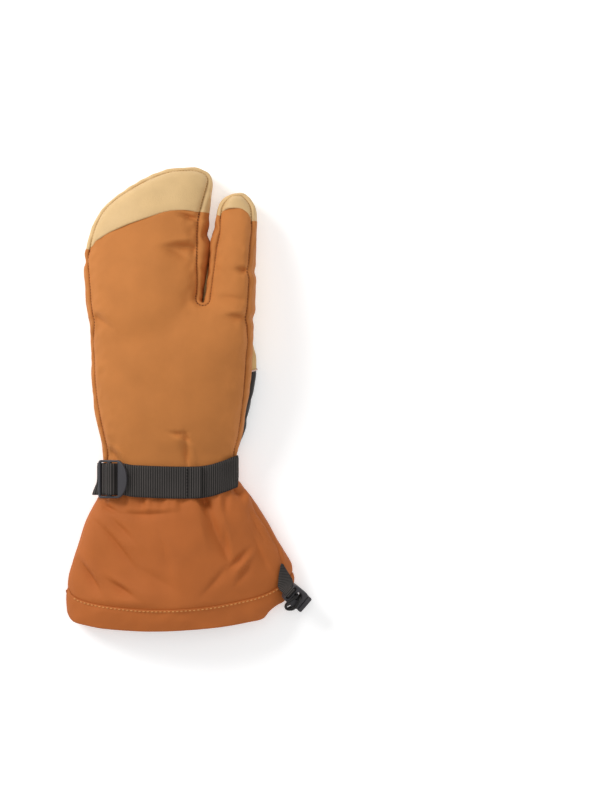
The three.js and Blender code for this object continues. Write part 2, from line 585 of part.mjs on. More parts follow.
// The tape that ties the lock to the side seam. Each row holds its two edges over the fabric. After them it
// goes over the lock's end bar and down through the slot, in rows of the lock's own directions.
const TETHER = { width: 8.4, thick: 1 };
const TETHER_EDGES = table("leftX leftY leftZ rightX rightY rightZ", [
  [77, -124.6, 21.2, 78.4, -125.2, 20],
  [75.6, -131, 21.8, 81, -130.8, 18.4],
  [74.8, -137, 22.2, 83.2, -135.6, 18.2],
  [74.8, -143, 23, 83.6, -138.8, 20.4],
]);
const TETHER_LOOP = table("along above", [[-11, 3.6], [-9.9, 5.2], [-8.2, 5.6], [-7.2, 4.4], [-7.1, 1], [-7.1, -4]]);
function tetherGeometry() {
  const half = TETHER.width / 2;
  const edges = [-half, half].map((aside, i) => [
    ...TETHER_EDGES.map((row) =>
      i === 0
        ? new THREE.Vector3(row.leftX, row.leftY, row.leftZ)
        : new THREE.Vector3(row.rightX, row.rightY, row.rightZ),
    ),
    ...TETHER_LOOP.map(({ along, above }) => lockSpot(along, aside, above)),
  ]);
  const face = (side) => edges.map((edge) =>
    edge.map((point, i) => {
      const [from, to] = [edge[Math.max(i - 1, 0)], edge[Math.min(i + 1, edge.length - 1)]];
      const aside = edges[1][i].clone().sub(edges[0][i]);
      const normal = aside.cross(to.clone().sub(from)).normalize();
      return point.clone().addScaledVector(normal, (side * TETHER.thick) / 2);
    }),
  );
  return thickSheet(face(1), face(-1), false);
}

// The drawcord: out of the hem's end, up through the lock, round a bight over its side and back the same way.
// The first and last points are by the hem, the others along, aside and above in the lock's own directions.
const CORD = { diameter: 2.2, sides: 8, steps: 30 };
const CORD_START = [[80, -157.4, 5.6], [83.6, -155.8, 4.4], [87.6, -151.8, 7]];
const CORD_BIGHT = table("along aside above", [
  [-1.25, 0, -6], [-1.25, 0, 0], [-1.25, 0, 4.6], [-1.8, -1.4, 6.6], [-2.7, -4, 6.5],
  [-3.3, -7, 6.2], [-3.2, -9.8, 4.8], [-1.8, -12, 3.2], [0, -12.8, 2.8],
]);
function cordRoute() {
  const spot = (row, side) => lockSpot(LOCK_HOLE.along + side * row.along, LOCK_HOLE.aside + row.aside, row.above);
  const start = CORD_START.map((p) => new THREE.Vector3(...p));
  const out = CORD_BIGHT.map((row) => spot(row, 1));
  const back = CORD_BIGHT.slice(0, -1).reverse().map((row) => spot(row, -1));
  const end = [...start].reverse().map((p) => p.clone().add(new THREE.Vector3(2.4, -2.2, -1.2)));
  return [...start, ...out, ...back, ...end];
}
function cordGeometry() {
  const curve = new THREE.CatmullRomCurve3(cordRoute());
  const section = new THREE.Shape(
    angles(CORD.sides).map((a) => new THREE.Vector2(Math.cos(a), Math.sin(a)).multiplyScalar(CORD.diameter / 2)),
  );
  return new THREE.ExtrudeGeometry(section, { steps: CORD.steps, extrudePath: curve, bevelEnabled: false });
}

// Finishes, with colours as sRGB
const finish = (color, roughness, metalness = 0) => new THREE.MeshStandardMaterial({ color, roughness, metalness });
const FINISH = {
  shellFabric: finish(0xb8733e, 0.75),
  gauntletFabric: finish(0xad6433, 0.75),
  leather: finish(0xdcb888, 0.6),
  thumbFabric: finish(0x2d2927, 0.85),
  webbing: finish(0x393533, 0.8),
  plastic: finish(0x3a3839, 0.45),
  cord: finish(0x242221, 0.5),
};

const mitt = new THREE.Group();
function addPiece(name, shape, material) {
  const geometry = shape.isBufferGeometry ? shape : geometryFrom(shape);
  const mesh = new THREE.Mesh(geometry, material);
  mesh.name = name;
  mitt.add(mesh);
  return mesh;
}

addPiece("back_panel", bodies(withoutCaps(upper))[0], FINISH.shellFabric);
addPiece("wide_cap", bodies(upper.intersect(wideCap))[0], FINISH.leather);
addPiece("index_cap", bodies(upper.intersect(indexCap))[0], FINISH.leather);
addPiece("palm_panel", lower, FINISH.leather);
addPiece("side_gusset", sideGusset, FINISH.shellFabric);
addPiece("split_gusset", splitGusset, FINISH.shellFabric);
addPiece("index_gusset", indexGusset, FINISH.shellFabric);
addPiece("wide_rim", bodies(sideBand.intersect(wideCap))[0], FINISH.leather);
addPiece("index_rim", bodies(sideBand.intersect(indexCap))[0], FINISH.leather);
addPiece("index_patch", indexPatch, FINISH.leather);
addPiece("thumb_back", thumbBack, FINISH.thumbFabric);
addPiece("thumb_inner", thumbInner, FINISH.leather);
addPiece("cuff", cuff, FINISH.gauntletFabric);
addPiece("hem_band", hemBand, FINISH.gauntletFabric);
addPiece("wrist_strap", strap, FINISH.webbing);
addPiece("strap_anchor", anchor, FINISH.webbing);
const buckle = addPiece("strap_buckle", buckleGeometry(), FINISH.plastic);
buckle.position.set(BUCKLE.x, BUCKLE.y, BUCKLE.z);
buckle.rotation.y = -THREE.MathUtils.degToRad(BUCKLE.tilt);
addPiece("cord_lock", geometryFrom(lockBody()).applyMatrix4(lockMatrix), FINISH.plastic);
addPiece("lock_button", geometryFrom(lockButton()).applyMatrix4(lockMatrix), FINISH.plastic);
addPiece("lock_tether", tetherGeometry(), FINISH.webbing);
addPiece("drawcord", cordGeometry(), FINISH.cord);

export default mitt;
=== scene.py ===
# Looks for a padded three-finger gauntlet mitt that lies palm down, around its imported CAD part.
# Plan tables and sections are in millimetres, +Z up and +Y towards the fingertips, as in the part's source.
# Meshes are made in metres, in the part's frame.
import math

import bmesh
import bpy
import numpy as np
from mathutils import Matrix, Vector, geometry


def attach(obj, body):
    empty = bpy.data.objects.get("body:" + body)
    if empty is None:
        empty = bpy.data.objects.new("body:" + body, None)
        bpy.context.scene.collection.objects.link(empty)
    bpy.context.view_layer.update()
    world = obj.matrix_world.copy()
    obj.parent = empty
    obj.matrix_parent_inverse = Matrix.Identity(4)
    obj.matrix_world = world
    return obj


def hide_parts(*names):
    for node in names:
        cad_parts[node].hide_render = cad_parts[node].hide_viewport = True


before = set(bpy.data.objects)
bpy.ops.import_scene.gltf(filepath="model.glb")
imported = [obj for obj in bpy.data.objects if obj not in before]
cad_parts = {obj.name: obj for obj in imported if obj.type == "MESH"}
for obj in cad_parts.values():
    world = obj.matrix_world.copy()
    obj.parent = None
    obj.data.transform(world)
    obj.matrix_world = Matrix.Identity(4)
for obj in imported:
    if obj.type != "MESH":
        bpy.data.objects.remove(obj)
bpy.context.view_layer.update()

MM = 0.001
TAU = 2 * math.pi


def table(heading, rows):
    """Columns by name, from a heading and rows of numbers."""
    return {name: np.array([row[i] for row in rows], float) for i, name in enumerate(heading.split())}


# Sections across the mitt, as in the part's source. The hand's tube runs on past the crotch and sinks, so
# that the valley between the two stalls opens gradually.
SECTION = "y left right edgeLeft edgeRight top bottom square"
TUBE = table(SECTION, [
    [-178, -86.6, 86, 9, 8, 33, -1.5, 1.6],
    [-162, -86.6, 86.2, 9, 8, 35.5, -1.5, 1.6],
    [-148, -86.1, 85.6, 10, 8, 38, -1.5, 1.6],
    [-134, -84.6, 84.6, 11, 9, 39.5, -1.5, 1.65],
    [-120, -81, 80.2, 12, 11, 40.5, -1.5, 1.7],
    [-106, -76.2, 73, 14, 13, 41, -1.5, 1.8],
    [-92, -71.6, 65.4, 15, 15, 41, -1.5, 1.9],
    [-81, -66.2, 58.6, 16, 16, 39.5, -1.5, 2],
    [-73, -62, 53.2, 17, 17, 37.7, -1.5, 2.1],
    [-66, -60.4, 47.8, 17, 17, 37.4, -1.5, 2.1],
    [-60, -59.8, 44.6, 17, 17, 37.2, -1.5, 2.1],
    [-54, -59.4, 43.8, 17, 17, 37.2, -1.5, 2.1],
    [-48, -58.6, 43.2, 17, 17.5, 38, -1.5, 2.1],
    [-41, -58, 43.4, 17, 18, 39.8, -1.5, 2.1],
    [-30, -60.4, 46.4, 18, 20, 43.4, -1, 2.2],
    [-12, -64.4, 49.6, 18, 24, 48, 1, 2.3],
    [10, -66.9, 53.4, 18, 28, 51.5, 3, 2.4],
    [34, -67.4, 55.7, 18, 31, 53.5, 4, 2.5],
    [54, -68, 55.6, 17, 31.5, 51.8, 5, 2.5],
    [66, -66, 54, 16, 31, 48, 7, 2.5],
    [74, -62, 51, 16, 29, 43, 8, 2.5],
    [84, -52, 44, 14, 22, 33, 9, 2.4],
    [94, -40, 36, 12, 14, 18, 10, 2.4],
])
WIDE = table(SECTION, [
    [28, -62, 8, 18, 27, 49, 9, 2.4],
    [46, -67.6, 12, 17.5, 27, 52, 5, 2.4],
    [64, -70.4, 15.6, 16.5, 26, 52, 3.5, 2.4],
    [80, -71.6, 18.5, 16, 25, 50, 3, 2.4],
    [98, -73, 20.7, 15, 23, 46, 1.5, 2.4],
    [114, -71.8, 22.2, 14, 21, 42, 0, 2.4],
    [131, -67.4, 21.8, 13, 19, 38, -1, 2.3],
    [145, -60.2, 22.8, 12, 17, 34, -1.5, 2.2],
    [155, -49.6, 23.8, 11.5, 15, 31, -1.5, 2.2],
    [163, -37.2, 24.6, 11, 14, 28, -1, 2.1],
    [169, -26.2, 24.2, 10.5, 12, 25, 0, 2],
    [173.5, -15.5, 21.2, 10.5, 11, 21.5, 2, 2],
    [176, -6.5, 15.5, 10.5, 10.5, 17.5, 5, 2],
    [177.2, 0, 10, 10.5, 10.5, 13.5, 8, 2],
])
INDEX = table(SECTION, [
    [28, 12, 50, 29, 31, 47, 15, 2.4],
    [46, 14.4, 55.2, 30, 31, 50.5, 13, 2.4],
    [64, 17, 57.2, 30, 31, 51, 12, 2.4],
    [80, 19.4, 57.5, 28, 30, 49, 13, 2.4],
    [98, 21.7, 57.8, 26, 28, 46, 12, 2.4],
    [114, 23.6, 58.2, 24, 25, 43, 9.5, 2.4],
    [127, 25, 58.6, 21.5, 22.5, 39, 6, 2.3],
    [138, 27.1, 58.5, 19, 20, 35, 3, 2.2],
    [147, 29.4, 57, 17, 17.5, 31, 2, 2.1],
    [153, 33.2, 52.8, 15.5, 16, 27, 3.5, 2],
    [156.5, 37.4, 49.6, 15, 15, 22, 8, 2],
    [158, 41, 46.8, 15, 15, 18, 12, 2],
])
THUMB = table(SECTION, [
    [-37.5, -3, 44.2, 11, 13, 22, -1.5, 2.3],
    [-25, -6.5, 48.2, 12, 14, 24, -1.5, 2.3],
    [-8, -9, 52.5, 12, 14, 26, -1.5, 2.3],
    [10, -9.5, 56.4, 12, 14.5, 27, -1.5, 2.3],
    [26, -8, 58.4, 12.5, 14.5, 27.5, -1.5, 2.3],
    [42, -5.5, 55.5, 12.5, 14, 27.5, -1.5, 2.3],
    [60, -3, 49, 12.5, 13, 27, -1.5, 2.3],
    [78, -1.5, 42, 12.5, 12.5, 26.5, -1.5, 2.3],
    [92, 0.5, 37.5, 12.5, 12.5, 25.5, -1, 2.2],
    [100, 4, 33.5, 12, 12, 23.5, 0, 2.1],
    [105, 9.5, 28, 12, 12, 20, 3, 2],
    [107.5, 15, 22, 12, 12, 15.5, 8.5, 2],
])

# Folds pressed into the fabric: where, which way they run from +X, their size, and how they bend along
# their run. A negative depth is a ridge. Their shape says how steep the sides are and how sharp the crease.
FOLDS = table("x y heading length width depth bend", [
    [4, 115.5, -5, 12, 4.5, 3.4, 0.008],
    [0, 110, -28, 10, 4, 1.3, 0],
    [4, 121, 2, 11, 4, -0.9, 0.01],
    [8, 138, -18, 8, 2.4, 2.8, 0],
    [6, 135.2, -18, 8, 2.6, -0.7, 0],
    [50, 97.5, -14, 6, 2.8, 3, 0.02],
    [49, 93.6, -10, 6, 3, -0.9, 0],
    [46, 62, -10, 8, 3, 3, 0.012],
    [45, 66.4, -10, 8, 3.4, -0.8, 0],
    [41, 76, -8, 12, 4.4, 1.4, 0.004],
    [-60, 60.5, -36, 10, 4.5, 2.8, 0],
    [-62, 67, -38, 9, 4, -0.8, 0],
    [-48.5, -42.6, -58, 8, 2.4, 1.9, 0.02],
    [-44, -41, -58, 8, 2.6, -1, 0.02],
    [-0.5, -25.6, -2, 5.5, 2, 1.5, -0.02],
    [6, -28.8, -60, 4.4, 2, 1.6, -0.03],
    [5.6, -40, -85, 9.5, 2.2, 1.9, 0],
    [1, -30, -20, 6, 2.8, -0.9, 0],
    [11, -42, -80, 9, 3, -0.7, 0],
    [20, -76, -48, 6, 3, 3, 0.02],
    [14, -79, -60, 8, 3, -1.2, 0],
    [44, -68, -52, 5, 2.4, 2, 0],
    [27, -97, -70, 20, 5, 2.6, -0.003],
    [34, -92, -76, 20, 5.5, -1.3, 0],
    [36, -110, -84, 12, 3.4, 1.6, 0],
    [18, -101, -76, 18, 6, -0.9, 0],
    [-49, -109, -51, 22, 4.4, 2.4, 0.002],
    [-42.5, -99, -44, 15, 3.8, 1.7, 0],
    [-36, -104, -46, 15, 4, -0.7, 0],
    [-56, -103, -51, 17, 4, -0.8, 0],
    [-69.5, -133, -56, 14, 4, 3, 0],
    [-64, -131, -56, 12, 3.2, -1, 0],
    [-44, -143.5, -32, 11, 3.6, 2.4, 0],
    [-41, -139.5, -30, 10, 3, -0.8, 0],
    [-54.5, -81.5, -27, 7, 2.4, 1.7, 0],
    [-24, -86.4, 1, 17, 2.8, 1.3, -0.002],
    [-22, -82.4, 1, 16, 3, -0.7, 0],
    [45, -121, 46, 9, 3, 1.8, 0],
    [49, -131, 54, 9, 3, 1.7, 0],
    [27, -137, 50, 12, 3.4, 1.2, 0],
    [48, -124.6, 48, 9, 3, -0.9, 0],
    [59, -96, -62, 14, 3.4, 1.5, 0],
    [62, -116, -66, 13, 3.4, 1.3, 0],
    [-10, -120, -76, 16, 6, 1.1, 0],
    [-20, -134, -30, 18, 6, 0.9, 0],
    [62, -86, -56, 12, 3.6, 1.6, 0],
])
FOLD_SHAPE = {"strength": 1.65, "steep": 0.6, "slack": 1.25, "sharp": 1.45}
ELASTIC = {"y": -56, "reach": 12, "pleats": 26, "depth": 1.5, "lift": 3.4, "rows": [-50.5, -61.5]}

# Plan lines of the seam that joins the hem and of the hem's free end
HEM_SEAM = table("x y", [
    [-88, -141], [-85.3, -144.3], [-82, -149], [-71.6, -153.3], [-51.9, -156.6], [-19.2, -158.8],
    [20, -156.8], [52.8, -150.9], [65.8, -147], [77.6, -140.5], [84.6, -133], [88, -128],
])
HEM_END = table("x y", [
    [-88, -160], [-84.7, -166.4], [-81.4, -169.6], [-75, -171.6], [-57.2, -174.6], [-19.2, -176.3],
    [26.6, -173.5], [55, -169], [63.7, -166.6], [68, -161.6], [73.5, -157.4], [79.5, -154], [85, -147],
    [88, -142],
])

# How far the upper seam lies in from the outline, on each side of the stalls
INSET_LEFT = table("y inset", [
    [-50, 2.4], [-15, 3], [6, 2.4], [30, 1.8], [44, 1.3], [57, 4.4], [72, 3.2], [98, 3.2], [106, 1.8],
    [113, 2.4], [130, 2.2], [150, 1.9], [170, 1.6], [180, 1.6],
])
INSET_SPLIT = table("y inset", [
    [66, 3.6], [74, 3.8], [85, 4.6], [92, 5.4], [100, 6.8], [113, 7.8], [125, 7.4], [135, 7], [146, 5.6],
    [158, 3.8], [168, 2.2], [180, 1.6],
])
INSET_INDEX = table("y inset", [
    [66, 3.4], [90, 3.4], [116, 3.5], [124, 4.6], [130, 4.4], [137, 2.8], [146, 2], [153, 1.8], [160, 1.8],
])
INSET_RIGHT = table("y inset", [
    [-50, 1.5], [-16, 1.8], [13, 3.4], [32, 4], [45, 2.8], [55, 4.2], [60.6, 6], [68, 5], [76, 4.5],
    [92, 3.8], [96.7, 5.8], [101, 4.4], [121, 3.7], [128, 2.8], [137, 3.2], [146, 2.6], [152, 1.9],
    [160, 1.8],
])
PALM_INSET = 5

# Where fabric meets leather on the back of the fingertips, from left to right
WIDE_CAP_EDGE = [
    [-64.4, 120], [-58, 124], [-51.9, 127.2], [-45, 130.2], [-38.9, 132.8], [-32, 135.1], [-25.8, 137.1],
    [-19, 139.4], [-12.7, 141.4], [-6, 142.9], [-0.9, 143.3], [4, 143.4], [8.3, 143], [12, 142.2],
]
INDEX_CAP_EDGE = [
    [32.4, 143.2], [34.5, 144.3], [36.5, 144.9], [39.7, 145.2], [43, 145.3], [46.2, 144.8], [49, 143.6],
    [52, 141],
]
LEATHER_FROM = {"left": 114.5, "split": 141.4, "index": 140, "right": 135.3}

# Panel thickness, how the edges of two panels roll into the seam between them, and how far everything stays
# above the surface that the mitt lies on
PANEL_THICK = 2.2
CLEAR = 0.02
SEAM = {"depth": 1.5, "roll": 1.9}


def column(rows, name, at, key="y"):
    """Values of a column on a smooth curve through the rows, which are in the order of their key."""
    keys, values = rows[key], rows[name]
    at = np.asarray(at, float)
    slopes = np.empty(len(keys))
    slopes[1:-1] = (values[2:] - values[:-2]) / (keys[2:] - keys[:-2])
    slopes[0] = (values[1] - values[0]) / (keys[1] - keys[0])
    slopes[-1] = (values[-1] - values[-2]) / (keys[-1] - keys[-2])
    i = np.clip(np.searchsorted(keys, at) - 1, 0, len(keys) - 2)
    span = keys[i + 1] - keys[i]
    t = np.clip((at - keys[i]) / span, 0, 1)
    curve = values[i] + (values[i + 1] - values[i]) * t**2 * (3 - 2 * t)
    return curve + slopes[i] * span * t * (1 - t) ** 2 + slopes[i + 1] * span * t**2 * (t - 1)


def undulation(points, size, seed, waves=18):
    """Smooth noise of about unit height, with forms of about this size."""
    rng = np.random.default_rng(seed)
    ways = rng.normal(size=(waves, 3))
    ways /= np.linalg.norm(ways, axis=1)[:, None]
    lengths = size * rng.uniform(1.2, 2.6, waves)
    phases = rng.uniform(0, TAU, waves)
    return np.sin(points @ (ways.T * TAU / lengths) + phases).sum(axis=1) / math.sqrt(waves / 2)


def bell(value, width, power=2):
    """1 at zero, fading out over about this width."""
    return np.exp(-(np.abs(value / width) ** power))


def on_plan(x, y):
    return np.column_stack([x, y, np.zeros_like(x)])


def fold_depth(x, y):
    """How deep the table's folds press into the fabric over plan points."""
    depth = np.zeros_like(x)
    for values in zip(*FOLDS.values()):
        fold = dict(zip(FOLDS, values))
        turn = math.radians(fold["heading"])
        east, north = x - fold["x"], y - fold["y"]
        along = east * math.cos(turn) + north * math.sin(turn)
        aside = north * math.cos(turn) - east * math.sin(turn) + fold["bend"] * along**2
        width = fold["width"] * np.where(aside > 0, FOLD_SHAPE["steep"], FOLD_SHAPE["slack"])
        depth += fold["depth"] * bell(along, fold["length"]) * bell(aside, width, FOLD_SHAPE["sharp"])
    return depth * FOLD_SHAPE["strength"]


def section_at(rows, y):
    """A section table's values at y, its half width and centre, and the middle and slope of its edge."""
    at = {name: column(rows, name, y) for name in rows if name != "y"}
    at["half"] = (at["right"] - at["left"]) / 2
    at["centre"] = (at["left"] + at["right"]) / 2
    at["middle"] = (at["edgeLeft"] + at["edgeRight"]) / 2
    at["slope"] = (at["edgeRight"] - at["edgeLeft"]) / 2
    return at


def section_points(rows, y, angle, grow=0.0):
    """Points on the surface of a section table: angle runs from the right edge over the top to the left.
    Where grow is negative, a least share of the size is kept."""
    least = 0.2
    y, angle = np.broadcast_arrays(np.asarray(y, float), np.asarray(angle, float))
    at = section_at(rows, y)
    power = 2 / at["square"]
    across, lift = (np.sign(way) * np.abs(way) ** power for way in (np.cos(angle), np.sin(angle)))
    reach = np.where(lift > 0, at["top"] - at["middle"], at["middle"] - at["bottom"])
    x = at["centre"] + across * np.maximum(at["half"] + grow, at["half"] * least)
    z = at["middle"] + at["slope"] * across + lift * np.maximum(reach + grow, reach * least)
    return np.stack([x, y, z], axis=-1), lift


def dome(rows, x, y, side):
    """Height of a section table's upper (side 1) or lower (side -1) surface over plan points."""
    at = section_at(rows, y)
    across = (x - at["centre"]) / at["half"]
    lift = np.maximum(1 - np.abs(across) ** at["square"], 0) ** (1 / at["square"])
    reach = at["top"] - at["middle"] if side > 0 else at["middle"] - at["bottom"]
    z = at["middle"] + at["slope"] * across + side * lift * reach
    inside = (np.abs(across) < 1) & (y >= rows["y"][0]) & (y <= rows["y"][-1])
    return np.where(inside, z, -1e3 * side)


def hand_surface(x, y, side):
    """Height of the whole hand's upper or lower surface. The stalls rise out of the tube from their roots
    on, and all three are blended."""
    soft = 1.6
    sink, rise = 13, 40
    heights = np.stack([dome(rows, x, y, side) for rows in (TUBE, WIDE, INDEX)]) * side
    heights[1:] -= sink * np.clip(1 - (y - WIDE["y"][0]) / rise, 0, 1) ** 2
    peak = heights.max(axis=0)
    return side * (peak + soft * np.log(np.exp((heights - peak) / soft).sum(axis=0)))


def smooth_path(values, reach):
    """A running average along an open path, with its ends kept."""
    steps = np.arange(-3 * reach, 3 * reach + 1)
    weights = np.exp(-0.5 * (steps / reach) ** 2)
    weights /= weights.sum()
    padded = np.concatenate([
        2 * values[0] - values[3 * reach:0:-1], values, 2 * values[-1] - values[-2:-3 * reach - 2:-1],
    ])
    return np.stack([np.convolve(padded[:, i], weights, "valid") for i in range(values.shape[1])], axis=1)


def lengths_along(path):
    return np.concatenate([[0], np.cumsum(np.linalg.norm(np.diff(path, axis=0), axis=1))])


def spots_along(path, at, lengths):
    """Points on a path at these distances, where lengths holds the distance of each of its own points."""
    return np.stack([np.interp(at, lengths, path[:, i]) for i in range(path.shape[1])], axis=1)


def resampled(points, step):
    """The same path with its points about a step apart."""
    lengths = lengths_along(points)
    return spots_along(points, np.linspace(0, lengths[-1], int(lengths[-1] / step) + 1), lengths)


def hand_path():
    """The plan outline of the hand, from the wrist up the left side and back down the right. Each row holds
    x, y, the height of the edge and the inset of the upper seam."""
    step, close = 0.5, 0.6
    low, wide_tip, crotch, index_tip = -62, 177, 72.6, 157.8
    parts = []

    def side(ys, x, edge, inset):
        parts.append(np.stack([x, ys, edge, np.interp(ys, inset["y"], inset["inset"])], axis=1))

    def outer_side(ys, stall, key, stall_from, edge_from, tube_to, furthest, inset):
        edge = "edge" + key.title()
        tube_x = np.where(ys < tube_to, column(TUBE, key, ys), 0)
        stall_x = np.where(ys > stall_from, column(stall, key, ys), 0)
        height = np.where(ys < edge_from, column(TUBE, edge, ys), column(stall, edge, ys))
        side(ys, furthest(tube_x, stall_x), height, inset)

    outer_side(np.arange(low, wide_tip, step), WIDE, "left", 40, 60, 70, np.minimum, INSET_LEFT)
    down = np.arange(wide_tip, crotch, -step)
    side(down, column(WIDE, "right", down), column(WIDE, "edgeRight", down), INSET_SPLIT)
    up = np.arange(crotch, index_tip, step)
    side(up, column(INDEX, "left", up), column(INDEX, "edgeLeft", up), INSET_INDEX)
    outer_side(np.arange(index_tip, low, -step), INDEX, "right", 52, 56, 66, np.maximum, INSET_RIGHT)
    return resampled(smooth_path(resampled(np.concatenate(parts), close), 3), close)


HAND = hand_path()


def path_normals(path):
    """Directions in plan that point in from the outline."""
    along = np.gradient(path[:, :2], axis=0)
    along /= np.maximum(np.linalg.norm(along, axis=1), 1e-9)[:, None]
    return np.stack([along[:, 1], -along[:, 0]], axis=1)


HAND_IN = path_normals(HAND)


def station(part, y):
    """Index on the hand's outline of a height y on one of its four sides."""
    wide_tip = int(np.argmax(HAND[:, 1]))
    index_tip = int(np.argmax(np.where(HAND[:, 0] > 33, HAND[:, 1], -999)))
    crotch = wide_tip + int(np.argmin(HAND[wide_tip:index_tip, 1]))
    spans = {
        "left": (0, wide_tip), "split": (wide_tip, crotch), "index": (crotch, index_tip),
        "right": (index_tip, len(HAND)),
    }
    start, end = spans[part]
    return start + int(np.argmin(np.abs(HAND[start:end, 1] - y)))


def triangles(faces):
    if faces.shape[1] == 3:
        return faces
    return np.concatenate([faces[:, [0, 1, 2]], faces[:, [0, 2, 3]]])


def face_normals(points, faces):
    """Normals of triangles, each twice its area long."""
    corners = points[faces]
    return np.cross(corners[:, 1] - corners[:, 0], corners[:, 2] - corners[:, 0])


def surface_normals(points, faces):
    """Unit normals at the points of a mesh of triangles or quads."""
    faces = triangles(faces)
    normal = face_normals(points, faces)
    total = np.zeros_like(points)
    for i in range(3):
        np.add.at(total, faces[:, i], normal)
    return total / np.maximum(np.linalg.norm(total, axis=1), 1e-12)[:, None]


def turned(faces, normals, outward):
    """The faces and normals, turned over where outward is negative."""
    return (faces, normals) if outward > 0 else (faces[:, ::-1], -normals)


def distance_to(points, line, closed=False):
    """Distance in plan from each point to a polyline."""
    return nearest_on(points, line, closed)[0]


def nearest_on(points, line, closed=False):
    """Distance in plan from each point to a polyline, and the number of the stretch that is nearest."""
    ends = np.roll(line, -1, axis=0) if closed else line[1:]
    starts = line if closed else line[:-1]
    best = np.full(len(points), 1e9)
    which = np.zeros(len(points), int)
    for start in range(0, len(points), 4000):
        chunk = points[start:start + 4000, None, :]
        way = (ends - starts)[None]
        size = np.maximum((way**2).sum(axis=2), 1e-12)
        t = np.clip(((chunk - starts[None]) * way).sum(axis=2) / size, 0, 1)
        gap = np.linalg.norm(chunk - (starts[None] + t[..., None] * way), axis=2)
        best[start:start + 4000] = gap.min(axis=1)
        which[start:start + 4000] = gap.argmin(axis=1)
    return best, which


def triangulated(outline, step):
    """Triangles over a plan region: its border's points, and a close net of points inside it."""
    low, high = outline.min(axis=0), outline.max(axis=0)
    net = []
    for i, row in enumerate(np.arange(low[1] + step / 2, high[1], step * 0.866)):
        across = np.arange(low[0] + (i % 2) * step / 2, high[0], step)
        net.append(np.column_stack([across, np.full(len(across), row)]))
    net = np.concatenate(net)
    inside = np.zeros(len(net), bool)
    ends = np.roll(outline, -1, axis=0)
    for (x0, y0), (x1, y1) in zip(outline, ends):
        crosses = (y0 > net[:, 1]) != (y1 > net[:, 1])
        if y0 != y1:
            inside ^= crosses & (net[:, 0] < (x1 - x0) * (net[:, 1] - y0) / (y1 - y0) + x0)
    net = net[inside]
    net = net[distance_to(net, outline, closed=True) > step * 0.55]
    points = np.concatenate([outline, net])
    border = [(i, (i + 1) % len(outline)) for i in range(len(outline))]
    found = geometry.delaunay_2d_cdt([Vector(p) for p in points.tolist()], border, [], 1, 1e-6)
    flat = np.array([tuple(p) for p in found[0]])
    faces = np.array([tuple(f) for f in found[2]])
    return flat, faces


def thickened(points, faces, thick, normals):
    """A closed body: the faces, the same faces moved in by thick, and a rim round the border."""
    count = len(points)
    both = np.concatenate([points, points - normals * thick])
    edges = dict.fromkeys((a, b) for face in faces.tolist() for a, b in zip(face, face[1:] + face[:1]))
    rim = [(b, a, a + count, b + count) for a, b in edges if (b, a) not in edges]
    return both, faces.tolist() + (faces[:, ::-1] + count).tolist() + rim


def grid_faces(rows, count, closed=False):
    """Quads over a grid of rows of points; closed joins each row's end to its start."""
    steps = count if closed else count - 1
    r, i = np.meshgrid(np.arange(rows - 1), np.arange(steps), indexing="ij")
    a = (r * count + i).ravel()
    b = (r * count + (i + 1) % count).ravel()
    return np.stack([a, b, b + count, a + count], axis=1)


def link_object(name, data):
    thing = bpy.data.objects.new(name, data)
    bpy.context.scene.collection.objects.link(thing)
    return thing


def add_piece(name, points, faces, material, nodes=()):
    """A mesh in millimetres becomes a piece that rides on the mitt and stands for these CAD nodes."""
    mesh = bpy.data.meshes.new(name)
    mesh.from_pydata((np.asarray(points) * MM).tolist(), [], [list(f) for f in faces])
    mesh.validate()
    mesh.polygons.foreach_set("use_smooth", [True] * len(mesh.polygons))
    mesh.materials.append(material)
    mesh.update()
    return claim(link_object(name, mesh), nodes)


def add_padded(name, points, faces, thick, normals, material, nodes):
    """A padded piece: a surface with its thickness."""
    both, body = thickened(points, faces, thick, normals)
    add_piece(name, both, body, material, nodes)


def claim(piece, nodes):
    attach(piece, "root")
    if nodes:
        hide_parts(*nodes)
    return piece


# Materials. Colours are sRGB in 0 to 255, as they look in soft daylight.
def linear(colour):
    return [((c / 255 + 0.055) / 1.055) ** 2.4 if c > 10 else c / 255 / 12.92 for c in colour] + [1]


def set_inputs(node, values):
    for socket, value in values.items():
        node.inputs[socket].default_value = value
    return node


